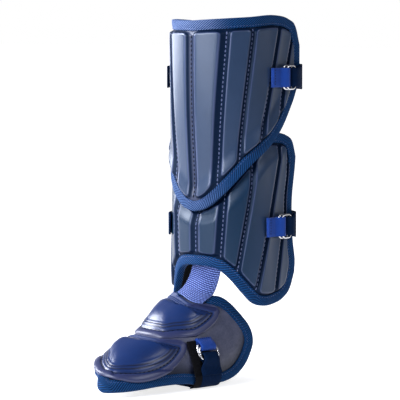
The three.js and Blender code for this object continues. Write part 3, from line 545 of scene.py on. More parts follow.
for name, panel in PANELS.items():
    seams = {"channel": [], "front": []}
    for side in (-1, 1):
        foot, top = ends_of(panel, side)
        for number in range(0 if side > 0 else 1, len(panel["channel_arcs"]) + 1):
            arc = channel_walls(panel, SEAM_HEIGHTS)[number]
            above_foot = SEAM_HEIGHTS - look_up(foot, "arc", arc, "height")
            under_top = look_up(top, "arc", arc, "height") - SEAM_HEIGHTS
            shown = np.minimum(above_foot, under_top) > TAPE_WIDTH
            arc, height = arc[shown], SEAM_HEIGHTS[shown]
            sunk = 1 - ease(distance_to_ends((foot, top), arc, height) - FLAT_MARGIN, 0, RIB_SLOPE)
            bend = panel_bend(panel, side * arc, height)
            lift = CHANNEL_LIFT - (CHANNEL_LIFT - MARGIN_LIFT) * sunk + bend
            floor = leg_point(side * arc, height, lift)
            up = leg_point(side * arc, height, lift + 1) - floor
            seams["channel" if number else "front"].append((floor, up))
    seam(f"{name}_channel_seams", seams["channel"], CHANNEL_STITCH, thread)
    front = (FRONT_STITCH, dark_thread) if panel["painted_front_light"] else (CHANNEL_STITCH, thread)
    seam(f"{name}_front_seam", seams["front"], *front)

# Binding of the shin panels. A navy twill tape is folded over the raw edge of each panel and sewn down
# through both faces near its own edges, so that it is pressed flat at the seam and full over the fold.
TAPE_WALL, TAPE_FOLD = 1.0, 1.6
INSIDE_SHARE = 0.5  # the tape is this much narrower on the lining
TAPE_SEAM, SEAM_SLACK = 6.5, 0.25  # of the tape's stitches from the edge, and of the tape there off the face
TAPE_OUTSIDE = [(TAPE_SEAM, SEAM_SLACK), (4.5, 0.7), (2.6, 1), (0.6, 1)]  # insets and slack, seam to fold
TAPE_INSIDE = [(4.5, 0.6), (TAPE_SEAM, 0.15)]  # and of its wall's inner face, fold to seam
TAPE_CREASE = (0.96, 0.8)  # the inner face in the fold: out past the sheet's edge, and off its faces
EDGE_ROUND, EDGE_LIFTED, EDGE_INSIDE = 0.4, 0.3, 0.1  # of the tape's own edge
TAPE_STITCH = (3.6, 2.7, 0.7)
TAPE_STEP, TAPE_ROUNDS = 2.0, 3
TAPE_LIGHT_MIDDLE, TAPE_LIGHT_REACH = -20, (30, 65)  # arc of the stretch in front where the upper tape is painted paler, as lit from the front
TAPE_LIGHT_FOOT, TAPE_LIGHT_HEIGHT = 0.4, (250, 380)  # the painted light is weaker along the foot than along the top


def resample(points, surface, step):
    """A closed row of surface places, spread evenly along the line that they make."""
    run = path_length(surface(points[:, 0], points[:, 1], 0 * points[:, 0]), closed=True)
    spots = np.linspace(0, run[-1], round(run[-1] / step), endpoint=False)
    return along_path(run, np.concatenate([points, points[:1]]), spots)


def rounded(points, rounds):
    """A closed row of values, each drawn towards its neighbours."""
    for _ in range(rounds):
        points = (np.roll(points, 1, axis=0) + 2 * points + np.roll(points, -1, axis=0)) / 4
    return points


def step_inside(surface, u, v, inward, distance):
    """Surface places moved a true distance along the surface."""
    probe = 0.2
    here = surface(u, v, 0 * u)
    du, dv = (surface(u + probe, v, 0 * u) - here) / probe, (surface(u, v + probe, 0 * u) - here) / probe
    uu, uv, vv = (du * du).sum(-1), (du * dv).sum(-1), (dv * dv).sum(-1)
    bu, bv = (inward * du).sum(-1) * distance, (inward * dv).sum(-1) * distance
    det = uu * vv - uv * uv
    return u + (bu * vv - bv * uv) / det, v + (bv * uu - bu * uv) / det


def tape_section(under, over, width):
    """Insets and lifts once round the tape's section: over the outer face, round the fold and back inside."""
    middle, half = (over + under) / 2, (over - under) / 2
    turn = np.radians(np.linspace(90, -90, 9))
    fold_in, fold_up = -TAPE_FOLD - TAPE_WALL * np.cos(turn), middle + (half + 1 + TAPE_WALL) * np.sin(turn)
    outside = [(width, 0), (width - EDGE_ROUND, EDGE_LIFTED), *TAPE_OUTSIDE]
    outside = [(inset, lift + TAPE_WALL) for inset, lift in outside]
    inside = [*TAPE_INSIDE, (width, EDGE_INSIDE)]
    section = [(inset, over + lift) for inset, lift in outside] + list(zip(fold_in, fold_up))
    section += [(inset * INSIDE_SHARE, under - lift) for inset, lift in outside[::-1] + inside[::-1]]
    crease, gap = TAPE_CREASE
    section += [(-crease, middle - half - gap), (-crease, middle + half + gap)]
    return section + [(inset, over + lift) for inset, lift in inside]


def swept(name, rows, cloth, finish, closed, shades=None):
    """A body swept along a path: rows of points once round its section. cloth has a row and a column more."""
    stations, around = rows.shape[:2]
    faces, corners = grid_faces(stations, around, closed, True)
    faces = faces.tolist()
    spots = cloth[corners[..., 0], corners[..., 1]].reshape(-1, 2).tolist()
    if not closed:
        for end, turned in ((0, 1), (stations - 1, -1)):
            faces.append([end * around + j for j in range(around)][::turned])
            spots += cloth[end, :around][::turned].tolist()
    return new_piece(name, rows, faces, finish, spots, shades)


def nowhere(u, v):
    """Nothing at any place of a surface."""
    return 0 * u


def bound_edge(name, surface, rim, faces, width, rounds, bend=nowhere, painted_front_light=nowhere):
    """A binding tape round the closed rim of a sheet with those two faces, and its two rows of stitches."""
    under, over = faces
    section = tape_section(under, over, width)
    u, v = rim.T
    spots = surface(u, v, 0 * u)
    ahead = np.roll(spots, -1, axis=0) - np.roll(spots, 1, axis=0)
    normal = surface(u, v, 0 * u + 1) - spots
    inward = unit(rounded(unit(np.cross(normal, ahead)), rounds))

    def at(inset, lift):
        there = step_inside(surface, u, v, inward, inset)
        return surface(*there, lift + bend(*there))

    rows = np.stack([at(inset, lift) for inset, lift in section], 1)
    round_it = [path_length(path, closed=True) for path in (spots, np.array(section))]
    cloth = np.stack(np.meshgrid(*round_it, indexing="ij"), -1)
    tape = swept(name, rows, cloth, twill, True, {"painted_front_light": np.repeat(painted_front_light(u, v), len(section))})
    seams = []
    for face, out, inset in ((over, 1, TAPE_SEAM), (under, -1, TAPE_SEAM * INSIDE_SHARE)):
        line = at(inset, face + out * (TAPE_WALL + SEAM_SLACK))
        up = at(inset, face + out * (TAPE_WALL + 1)) - line
        seams.append([np.concatenate([row, row[:1]]) for row in (line, up)])
    seam(f"{name}_seams", seams, TAPE_STITCH, tape_thread)
    return tape


def panel_rim(panel):
    """The edge of a panel once round, as arc and height, anticlockwise as seen from outside."""
    halves = []
    for side in (1, -1):
        foot, top = ends_of(panel, side)
        height = np.linspace(foot["height"][-1], top["height"][-1], 20)[1:-1]
        wall = np.stack([look_up(panel["side"], "height", height, "arc"), height], -1)
        line = np.concatenate([edge_line(foot), wall, edge_line(top)[::-1]])
        halves.append(line * (side, 1))
    return np.concatenate([halves[0], halves[1][::-1][1:-1]])


tape_thread = thread_finish(
    "royal_tape_thread", 1.2, 0.1, (10, 34, 84), (30, 66, 132), Roughness=0.55, Sheen_Weight=0.3
)

twill = Finish(
    "navy_twill_tape", Sheen_Weight=0.1, Sheen_Tint=srgb(90, 140, 220), Specular_IOR_Level=0.1
)
along, across = twill.cloth()
ridges, yarns = (along * 0.8 + across).wave(2.3), (along - across * 0.5).wave(0.6)
weave = ridges * 0.8 + yarns * 0.2
# Painted light: the upper tape's front is painted paler, as lit from the front and above.
pale = twill.shade("painted_front_light")
mottled = twill.mix(twill.noise(30), srgb(0, 14, 38), srgb(2, 22, 50))
deep = twill.mix(pale, mottled, srgb(16, 42, 88))
bright = twill.mix(pale, srgb(18, 76, 134), srgb(116, 134, 168))
twill.drive(
    Base_Color=twill.mix(weave.clamped(0.4, 0.95), deep, bright),
    Roughness=twill.uneven(0.7, 0.15, 4),
)
twill.raise_surface(weave, 0.3)

for name, panel in PANELS.items():

    def bend(arc, height):
        return panel_bend(panel, arc, height)

    def painted_front_light(arc, height):
        in_front = 1 - ease(np.abs(arc - TAPE_LIGHT_MIDDLE), *TAPE_LIGHT_REACH)
        upward = TAPE_LIGHT_FOOT + (1 - TAPE_LIGHT_FOOT) * ease(height, *TAPE_LIGHT_HEIGHT)
        return panel["painted_front_light"] * in_front * upward

    rim = resample(panel_rim(panel), leg_point, TAPE_STEP)
    faces = (0, MARGIN_LIFT)
    tape = bound_edge(
        f"{name}_binding_tape", leg_point, rim, faces, TAPE_WIDTH, TAPE_ROUNDS, bend, painted_front_light
    )
    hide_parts(f"{name}_binding")

# Foot pad. A single layer of foam under grained navy vinyl, cut to wrap the instep and the outer side of
# the shoe, lined with the same black knit.
FOOT_YAW, FOOT_LEAN = math.radians(8), 0.11
SIDE_BULGE, TOP_BULGE = 0.85, 0.65  # powers of the shoe's section
PAD_LIFT, PAD_UNDER, PAD_PUFF = 3.0, -1.5, 0.9
PAD_EDGE_SHADE = (8, 24)  # from its edge, where the painted shade beside the tape fades out
FOOT = {
    "ahead": [-10, 0, 48, 110, 150, 206],
    "ridge": [120, 118, 94, 57, 37, 14],
    "half": [41, 41, 45, 48, 46, 35],
    "inner": [40, 40, 38, 30, 26, 22],
}
PAD_EDGE = {
    "turn": [0, 18, 30, 39, 48, 57, 64, 70, 75.5, 79, 82.3, 85.5, 88.3],
    "back": [47, 45, 38.5, 28.5, 21, 13.5, 6.5, 0, -3, -2, 3, 11.5, 30],
    "front": [182, 190, 196, 199.5, 200.5, 200.5, 199, 196.5, 188, 176, 142, 110, 80],
    "inner_back": [47, 47, 45, 41, 36, 30, 22, 14, 8, 6, 10, 18, 34],
    "inner_front": [182, 174, 168, 164, 160.5, 157, 154, 151, 147, 142, 128, 107, 80],
}
PAD_MIDDLE = (8, 112)  # turn and distance ahead
PAD_RINGS, LAST_RING = 44, 0.97  # the last one is that share of the way to the middle


def from_foot(ahead, outward, up):
    """Points of the foot's own frame in the guard's."""
    x = outward * math.cos(FOOT_YAW) - ahead * math.sin(FOOT_YAW)
    y = -outward * math.sin(FOOT_YAW) - ahead * math.cos(FOOT_YAW)
    return np.stack(np.broadcast_arrays(x, y, up), -1)


def foot_point(turn, ahead, lift):
    """Points over the shoe: turn from its ridge in degrees, distance ahead of the leg's axis, and lift."""
    turn, ahead, lift = np.broadcast_arrays(*(np.asarray(x, float) for x in (turn, ahead, lift)))
    ridge = look_up(FOOT, "ahead", ahead, "ridge")
    half = np.where(turn < 0, look_up(FOOT, "ahead", ahead, "inner"), look_up(FOOT, "ahead", ahead, "half"))

    def arch(degrees):
        angle = np.radians(degrees)
        outward = np.sign(angle) * np.abs(np.sin(angle)) ** SIDE_BULGE * half
        return np.stack([outward, np.maximum(np.cos(angle), 0) ** TOP_BULGE * ridge], -1)

    along = unit(arch(turn + 0.5) - arch(turn - 0.5))
    spot = arch(turn) + np.stack([-along[..., 1], along[..., 0]], -1) * lift[..., None]
    return from_foot(ahead, spot[..., 0] - FOOT_LEAN * spot[..., 1], spot[..., 1])


def foot_outline(edge, step):
    """The edge of a piece on the foot once round, as turn and distance ahead, in even steps."""
    turn = np.array(edge["turn"], float)
    outer = [np.stack([turn, edge["back"]], -1), np.stack([turn, edge["front"]], -1)[::-1]]
    inner = [np.stack([-turn, edge["inner_front"]], -1)[1:], np.stack([-turn, edge["inner_back"]], -1)[:0:-1]]
    loop = np.concatenate(outer + inner)
    overlap = 4
    run = path_length(foot_point(*loop.T, 0), closed=True)
    laps = np.concatenate([run[-1 - overlap : -1] - run[-1], run[:-1], run[:overlap] + run[-1]])
    loop = np.concatenate([loop[-overlap:], loop, loop[:overlap]])
    table = {"run": laps, "turn": loop[:, 0], "ahead": loop[:, 1]}
    spots = np.linspace(0, run[-1], round(run[-1] / step), endpoint=False)
    return np.stack([look_up(table, "run", spots, column) for column in ("turn", "ahead")], -1)


def towards(rim, middle, share):
    """Turn and distance ahead at shares of the way from each point of a rim to the middle."""
    spots = rim[:, None] + (np.array(middle) - rim[:, None]) * share[..., None]
    return spots[..., 0], spots[..., 1]


def rings_inside(rim, middle, count):
    """Turn, distance ahead and depth from the rim, over rings that shrink from the rim to the middle."""
    turn, ahead = towards(rim, middle, np.linspace(0, LAST_RING, count))
    steps = np.linalg.norm(np.diff(foot_point(turn, ahead, 0), axis=1), axis=-1)
    return turn, ahead, np.pad(np.cumsum(steps, axis=1), ((0, 0), (1, 0)))


def ringed_sheet(name, over, under, finish, shades=None):
    """A closed sheet between two sets of rings of points."""
    stations, rings = over.shape[:2]
    rim = np.arange(stations) * rings
    faces = grid_faces(stations, rings, wrap_columns=True)[0].tolist() + [(rim + rings - 1).tolist()]
    return two_sided(name, over, under, faces, rim, over[..., :2], finish, shades)


grained = Finish("grained_navy_vinyl", Coat_Weight=0.08, Coat_Roughness=0.3, IOR=1.5)
pebbles, creases = grained.cells(2.1), grained.noise(9)
mottled = grained.mix(creases * 0.7 + pebbles * 0.3, srgb(34, 42, 64), srgb(86, 88, 110))
# Painted shade: the pad is darker towards its edge, beside the raised tape.
grained.drive(
    Base_Color=grained.mix(grained.shade("rim"), mottled, srgb(10, 20, 42)),
    Roughness=grained.uneven(0.36, 0.14, 5),
)
grained.raise_surface(pebbles * 0.7 + grained.noise(0.8) * 0.3, 0.16)

pad_rim = foot_outline(PAD_EDGE, TAPE_STEP)
turn, ahead, depth = rings_inside(pad_rim, PAD_MIDDLE, PAD_RINGS)
puff = PAD_PUFF * ease(depth, TAPE_WIDTH, 3 * TAPE_WIDTH)
lifts = (PAD_LIFT + puff, PAD_UNDER, PAD_UNDER - LINING_CLEAR, PAD_UNDER - LINING_THICKNESS)
over, under, face, back = (foot_point(turn, ahead, lift) for lift in lifts)
pad = ringed_sheet("foot_pad_cover", over, under, grained, {"rim": 1 - ease(depth, *PAD_EDGE_SHADE)})
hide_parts("foot_pad")
ringed_sheet("foot_pad_lining", face, back, knit)

# Binding of the foot pad. The same navy twill tape, a little wider than on the panels, is folded over the
# pad's edge all round and sewn down through both faces. It goes on before the caps, which ride over it.
FOOT_TAPE_WIDTH, FOOT_TAPE_ROUNDS = 10.0, 8
pad_faces = (PAD_UNDER, PAD_LIFT)
tape = bound_edge(
    "foot_binding_tape", foot_point, pad_rim[::-1], pad_faces, FOOT_TAPE_WIDTH, FOOT_TAPE_ROUNDS
)
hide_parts("foot_binding")

# Instep cap and toe cap. Two pieces of foam moulded hot under glossy navy vinyl: a broad soft rim, a sewn
# groove, three low steps and a dome. They are sewn to the foot pad through the groove and ride over its tape.
CAP_SEAT, CAP_LOW = 5.5, 3.3  # lift of a cap's underside over the pad's tape, and of its rim over the pad
CAP_SINK, CAP_LIFTED = (1.8, 5), (4, 14)  # it sinks that far from the tape, and rises again inside the rim
CAP_TOP, DOME_POWER = 9.8, 3.2  # a dome's height above the seat, and how steep its foot is
CAP_GROOVE, CAP_LINES = 8.4, (8.4, 11.9, 14.3)  # depths of the sewn groove and of the lines of painted shade in it and at the steps' feet
CAP_RIM, LINE_EDGE = (5.6, 7.6), (0.2, 0.9)  # where the rim's painted reflection ends, and where a painted shade line ends on each side
CAP_STITCH = (5.2, 3.6, 1.6)
CAP_STEP, CORNER_ROUNDS = 1.6, 6
RAY_STEPS, DOME_RINGS, RIM_SPACING = 70, 22, 0.42
INNER_FALL, INNER_FALL_TURN = 0.75, 28  # a dome is lower by this share on its inner side
INNER_THIN, INNER_THIN_TURN = 0.45, (18, 56)  # and so is the whole cap there
CAP_PROFILE = {
    "depth": [0, 0.5, 1.4, 3.0, 5.4, 6.8, 7.8, 8.4, 9.2, 10.0, 12.2, 12.8, 14.6, 15.2, 17.0],
    "lift": [0.6, 2.0, 2.9, 3.4, 3.4, 3.0, 2.1, 1.8, 2.2, 2.9, 3.5, 4.0, 4.5, 5.0, 5.4],
    "band": [0.6, 1.6, 2.4, 2.6, 2.0, 2.9, 3.0, 2.4, 2.9, 3.2, 2.6, 2.9, 5.2, 5.7, 6.4],
}
BAND_TURN, BAND_REACH = (26, 42), (8, 18)  # a plain folded band takes the rim's place along a cap's back
BAND_DULL = (13, 17)  # it is duller than the dome, which starts there
BAND_PLAIN = 0.2  # the groove isn't sewn where the band is more than this share of the rim
INSTEP_EDGE = {
    "turn": [0, 11, 20, 28, 35, 42, 48, 52, 55.5],
    "back": [58, 61, 61, 57, 48, 40, 36, 39, 48],
    "front": [118, 117.5, 115.5, 113, 107.5, 99, 91, 84, 75],
    "inner_back": [58, 54, 50.5, 47.5, 45.5, 44.5, 45.5, 49, 56],
    "inner_front": [118, 117, 114.5, 111, 106, 98, 90, 83, 74],
}
TOE_EDGE = {
    "turn": [0, 12, 24, 36, 46, 55, 62, 69, 74.5],
    "back": [120, 119.5, 116.5, 109.5, 99, 92.5, 96, 108, 127],
    "front": [186, 191.5, 194, 193, 190.5, 187, 181.5, 174.5, 162],
    "inner_back": [120, 119.5, 116.5, 109.5, 100, 95, 98, 108, 125],
    "inner_front": [186, 180, 174, 168, 163, 157.5, 153, 147.5, 140],
}
INSTEP_MIDDLE, TOE_MIDDLE = (2, 86), (4, 148)


def rings_at_depths(rim, middle, depths, count):
    """Turn and distance ahead over rings at those depths from the rim, and a count of rings from the last of
    them to the middle. Also gives how far each point lies from that last ring towards the middle."""
    share = np.linspace(0, LAST_RING, RAY_STEPS)
    gaps = foot_point(*towards(rim, middle, share), 0)[:, :, None] - foot_point(*rim.T, 0)
    true_depth = rounded(np.linalg.norm(gaps, axis=-1).min(-1), CORNER_ROUNDS)
    true_depth[:, 0] = 0
    rows = []
    for depth in np.maximum.accumulate(true_depth, axis=1):
        rim_share = np.interp(depths, depth, share)
        rows.append(np.append(rim_share, np.linspace(rim_share[-1], share[-1], count + 1)[1:]))
    share = np.array(rows)
    start = share[:, len(depths) - 1, None]
    inward = np.clip((share - start) / (share[:, -1:] - start), 0, 1)
    return *towards(rim, middle, share), inward


def distance_to_rim(places):
    """Distance of places on the foot from the pad's edge."""
    edge = foot_point(*pad_rim.T, 0)
    return np.array([np.linalg.norm(row[:, None] - edge, axis=-1).min(-1) for row in places])


moulded = Finish("moulded_gloss_vinyl", Coat_Roughness=0.3, IOR=1.45)
streaks = moulded.noise(18)
rim_reflection_mask, painted_groove_shade, band_shade = (moulded.shade(name) for name in ("rim", "groove", "band"))
dome_colour = moulded.mix(streaks, srgb(2, 30, 76), srgb(8, 38, 88))
# Painted reflection: the rim is a paler grey-violet, as its glossy rounding reflects the lamps.
painted_rim_reflection = moulded.mix(rim_reflection_mask, dome_colour, srgb(32, 40, 78))
# Painted shade: dark lines in the sewn groove and at the feet of the steps.
moulded.drive(
    Base_Color=moulded.mix(painted_groove_shade, painted_rim_reflection, srgb(3, 12, 40)),
    Roughness=moulded.uneven(0.36, 0.1, 5) + 0.08 * rim_reflection_mask + 0.24 * band_shade,
    Coat_Weight=0.36 - 0.34 * band_shade,
)
moulded.raise_surface(moulded.cells(0.9) * 0.5 + moulded.noise(0.6) * 0.5, 0.03)

cap_seams = []
for name, edge, middle in (("instep", INSTEP_EDGE, INSTEP_MIDDLE), ("toe", TOE_EDGE, TOE_MIDDLE)):
    rim_depths = np.arange(0, CAP_PROFILE["depth"][-1] + RIM_SPACING / 2, RIM_SPACING)
    turn, ahead, inward = rings_at_depths(foot_outline(edge, CAP_STEP), middle, rim_depths, DOME_RINGS)
    depth = np.concatenate([rim_depths, np.full(DOME_RINGS, rim_depths[-1])])
    behind = ease(middle[1] - ahead[:, :1], *BAND_REACH) * (1 - ease(np.abs(turn[:, :1]), *BAND_TURN))
    rim, band = (look_up(CAP_PROFILE, "depth", depth, column) for column in ("lift", "band"))
    profile = rim + (band - rim) * behind
    rise = profile + (CAP_TOP - profile[:, -1:]) * (1 - (1 - inward) ** DOME_POWER)
    rim_lift = max(CAP_PROFILE["lift"][:6])
    fall = 1 - INNER_FALL * ease(-turn, 0, INNER_FALL_TURN)
    rise = np.where(rise > rim_lift, rim_lift + (rise - rim_lift) * fall, rise)
    rise = rise * (1 - INNER_THIN * ease(-turn, *INNER_THIN_TURN))
    from_tape = distance_to_rim(foot_point(turn, ahead, 0)) - TAPE_WIDTH
    seat = CAP_SEAT - (CAP_SEAT - CAP_LOW) * ease(from_tape, *CAP_SINK) * (1 - ease(depth, *CAP_LIFTED))
    over, under = foot_point(turn, ahead, seat + rise), foot_point(turn, ahead, seat)
    shades = {
        "rim": (1 - ease(depth, *CAP_RIM)) * (1 - behind),
        "band": (1 - ease(depth, *BAND_DULL)) * behind,
        "groove": (1 - ease(np.abs(depth[:, None] - CAP_LINES).min(-1), *LINE_EDGE)) * (1 - behind),
    }
    cap = ringed_sheet(f"{name}_cap_shell", over, under, moulded, shades)
    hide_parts(f"{name}_cap")
    groove = np.argmin(np.abs(rim_depths - CAP_GROOVE))
    up = foot_point(turn, ahead, seat + rise + 1) - over
    plain = behind[:, 0] > BAND_PLAIN
    sewn = np.roll(np.arange(len(plain)), -np.argmax(plain))
    sewn = sewn[~plain[sewn]]
    cap_seams.append((over[sewn, groove], up[sewn, groove]))
seam("cap_seams", cap_seams, CAP_STITCH, dark_thread)

# Ankle webbing. A wide strip of coarse periwinkle webbing, sewn inside the lower panel's arch and brought
# forward over the tape onto the foot pad, up to the instep cap. It lets the foot pad hinge at the ankle.
WEBBING_WIDTH, WEBBING_THICKNESS = 41, 2
WEBBING_ARC, WEBBING_INSIDE = 6, -3.4  # its middle on the shin, and its lift on the lining
WEBBING_HEIGHTS = [160, 146, 133, 124]
WEBBING_TURN, WEBBING_TURNED = 12, 38  # its middle on the foot, and the turn that it spans
WEBBING_OVER, WEBBING_LAP, WEBBING_GAP = 6.3, 2, 1.3
FLOAT_LENGTH, FLOAT_PITCH, FLOAT_RISE = 3.6, 2.3, 0.55  # of the yarns that show on its face
FLOAT_GAP = 0.5  # share of their rise that they lose between one another
WEBBING_COLUMNS, WEBBING_ROWS = 93, 200


def smooth_path(points, count):
    """Points spread evenly along a smooth line through the given ones."""
    run = path_length(points)
    table = {"run": run, **{axis: points[:, k] for k, axis in enumerate("xyz")}}
    spots = np.linspace(0, run[-1], count)
    return np.stack([look_up(table, "run", spots, axis) for axis in "xyz"], -1)


strips = []
for share in np.linspace(-0.5, 0.5, WEBBING_COLUMNS):
    arc, turn = WEBBING_ARC + share * WEBBING_WIDTH, WEBBING_TURN + share * WEBBING_TURNED
    back = "inner_back" if turn < 0 else "back"
    start = look_up(PAD_EDGE, "turn", abs(turn), back) - WEBBING_LAP
    end = look_up(INSTEP_EDGE, "turn", abs(turn), back) - WEBBING_GAP
    on_shin = leg_point(arc, np.array(WEBBING_HEIGHTS, float), WEBBING_INSIDE)
    on_foot = foot_point(turn, np.array([start, (start + end) / 2, end]), WEBBING_OVER)
    strips.append(smooth_path(np.concatenate([on_shin, on_foot]), WEBBING_ROWS))
strips = np.array(strips)
outward = unit(np.cross(np.gradient(strips, axis=1), np.gradient(strips, axis=0)))
across = np.linspace(0, WEBBING_WIDTH, WEBBING_COLUMNS)[:, None]
along = path_length(strips[WEBBING_COLUMNS // 2])[None]
row = np.floor(along / FLOAT_PITCH)
from_gap = np.abs(np.sin(math.pi * (across / FLOAT_LENGTH + row / 2)))
from_row = np.abs(np.sin(math.pi * along / FLOAT_PITCH))
floats = from_row * (1 - FLOAT_GAP * (1 - from_gap) ** 2)
half = (WEBBING_THICKNESS / 2 - FLOAT_RISE + FLOAT_RISE * floats)[..., None]
cloth = np.stack(np.broadcast_arrays(across, along), -1)

basket = Finish("periwinkle_basket_webbing", Sheen_Weight=0.08, Specular_IOR_Level=0.15)
worn = basket.shade("floats")
yarn = basket.cloth()[0].wave(0.5)
bright = basket.mix(basket.noise(7), srgb(98, 120, 190), srgb(122, 144, 206))
basket.drive(
    Base_Color=basket.mix(worn.clamped(0.4, 0.95), srgb(8, 22, 78), bright),
    Roughness=basket.uneven(0.7, 0.2, 3),
)
basket.raise_surface(yarn * worn, 0.15)
over, under = strips + outward * half, strips - outward * half
webbing = closed_sheet("ankle_webbing_strip", over, under, cloth, basket, {"floats": floats})
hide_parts("ankle_webbing")

# Tabs, rings and straps. On the outer side a royal webbing tab, sewn to the padding, holds two plated wire
# rings. A navy elastic strap is sewn to the inner side, goes round behind and doubles back through the rings.
CROWN_LIFT = 9.0  # of the padding under a tab, over the lining
STRAP_THICKNESS, STRAP_WIDTH = 1.8, 28
STRAP_NECK, SEWN_WIDTH = 20, 24  # it gathers in the rings and where it is sewn
TAB_THICKNESS, TAB_WIDTH = 1.5, 21
WIRE, WIRE_GAP = 2.2, 0.3
RING_PITCH, RING_OFFSET, RING_LENGTH, RING_WIDTH, RING_CORNER = 2.6, 3.5, 14, 25, 4
WIRE_LOW = 3.8  # centre of the lower ring's wire above the padding
WIRE_HIGH = WIRE_LOW + RING_PITCH
WIRE_SIDES, CORNER_STEPS, FOLD_STEPS = 12, 7, 10
RING_PLAY, BAR_CLEAR = 0.4, 1  # of a ring in the tab's fold, and of the strap's upper layer past the bars
TAB_CREASE, TAB_SEAM = (4.6, 1.8), 9.5  # where the tab's upper layer comes down behind the rings
CALF_TAB_LENGTH, FOOT_TAB_LENGTH = 26, 15
STRAP_LAP, LAP_END = 0.5, 2.5  # between a strap's two layers, and of the upper one's end before the edge
LOOP_POWER, LOOP_DEPTH, LOOP_STEPS = 1.5, 30, 40  # of a calf strap behind the panel's edges
EDGE_LIFT, EDGE_RUN, SEWN_STEP = 7.9, 18, 6  # of it at those edges, and on its way to its sewn end
CALF_STRAPS = {
    "upper": {"arc": 84.5, "height": 332, "edge_arc": 140.7, "sewn_arc": 42},
    "lower": {"arc": 77, "height": 170, "edge_arc": 130, "sewn_arc": 42},
}
FOOT_TAB_TURN, FOOT_TAB_SPAN, FOOT_STRAP_AHEAD = 60, 8, 70
FOOT_STRAP_CLEAR = {"half": 8.5, "inner": 12.5}  # from the shoe beside the sole
FOOT_SEWN_LIFT, FOOT_SEWN_RISE, FOOT_SEWN_TURN, FOOT_LOW_TURN, FOOT_LAP = 6.6, 1.9, 62, 84, 16
SOLE_BEND = [(0, 16), (0.6, 10), (4, 4), (10, 1.6)]  # in from the wall beside the sole, and height
STRIP_STEP, WIDTH_WINDOW = 1.2, 7
STRIP_BESIDE = np.array([-0.97, -0.6, -0.2, 0.2, 0.6, 0.97, 1, 1])  # half of a strip's section
STRIP_ABOVE = np.array([1, 1, 1, 1, 1, 1, 0.6, -0.6])
SEWN_EDGE, TAB_STITCH = 3.5, (3.0, 2.2, 0.8)  # of a tab's seam from its sewn end, and its stitches

royal = Finish("royal_tab_webbing", Sheen_Weight=0.08, Specular_IOR_Level=0.15)
along, across = royal.cloth()
ribs = across.wave(1.3) * 0.6 + along.wave(0.9) * 0.4
royal.drive(
    Base_Color=royal.mix(ribs * 0.8 + royal.noise(6) * 0.2, srgb(4, 34, 98), srgb(16, 70, 162)),
    Roughness=royal.uneven(0.66, 0.2, 3),
)
royal.raise_surface(ribs, 0.2)

elastic = Finish("navy_woven_elastic", Specular_IOR_Level=0.04)
along, across = elastic.cloth()
cords = across.wave(2.0) * 0.6 + along.wave(1.1) * 0.4
elastic.drive(
    Base_Color=elastic.mix(cords, srgb(2, 14, 34), srgb(8, 32, 66)),
    Roughness=elastic.uneven(0.74, 0.2, 4),
)
elastic.raise_surface(cords, 0.25)

nickel = Finish("plated_wire", Metallic=1.0)
scuffs = nickel.noise(2.5)
nickel.drive(
    Base_Color=nickel.mix(scuffs, srgb(206, 206, 210), srgb(232, 232, 234)),
    Roughness=0.16 + 0.14 * scuffs,
)
nickel.raise_surface(nickel.noise(0.7), 0.02)


def flat_strip(name, points, across, thickness, widths, finish):
    """A flat strip along a path, square to a fixed direction, with softly rounded edges."""
    line = smooth_path(points, round(path_length(points)[-1] / STRIP_STEP))
    run = path_length(line)
    width = np.pad(np.interp(run, path_length(points), widths), WIDTH_WINDOW // 2, mode="edge")
    width = np.convolve(width, np.ones(WIDTH_WINDOW) / WIDTH_WINDOW, mode="valid")
    normal = unit(np.cross(across, np.gradient(line, axis=0)))
    beside, above = (np.concatenate([half, -half]) for half in (STRIP_BESIDE, STRIP_ABOVE))
    rows = line[:, None] + normal[:, None] * above[:, None] * thickness / 2
    rows = rows + across * beside[:, None] * width[:, None, None] / 2
    spread = np.append(beside, beside[0]) * STRAP_WIDTH / 2
    return swept(name, rows, np.stack(np.meshgrid(run, spread, indexing="ij"), -1), finish, False)


def fold_points(centre, low, high, facing):
    """Length and lift along a half circle from one layer of a fold to the other."""
    angle = np.linspace(-math.pi / 2, math.pi / 2, FOLD_STEPS + 1)
    middle, radius = (low + high) / 2, (high - low) / 2
    return np.stack([centre + facing * np.cos(angle) * radius, middle + np.sin(angle) * radius], -1)


def wire_ring(name, place, front, lift):
    """A ring of round wire with rounded corners, lying flat in its cinch."""
    middle = front + RING_LENGTH / 2
    turn = 2 * math.pi * np.arange(WIRE_SIDES) / WIRE_SIDES
    reach = RING_CORNER + WIRE / 2 * np.cos(turn)
    rows = []
    for number, (a, w) in enumerate(((1, 1), (-1, 1), (-1, -1), (1, -1))):
        for angle in np.radians(np.linspace(90 * number, 90 * number + 90, CORNER_STEPS)):
            length = middle + a * (RING_LENGTH / 2 - RING_CORNER) + reach * math.cos(angle)
            width = w * (RING_WIDTH / 2 - RING_CORNER) + reach * math.sin(angle)
            rows.append(place(length, lift + WIRE / 2 * np.sin(turn), width))
    cloth = np.moveaxis(np.indices((len(rows) + 1, WIRE_SIDES + 1)), 0, -1)
    return swept(name, np.array(rows), cloth, nickel, True)


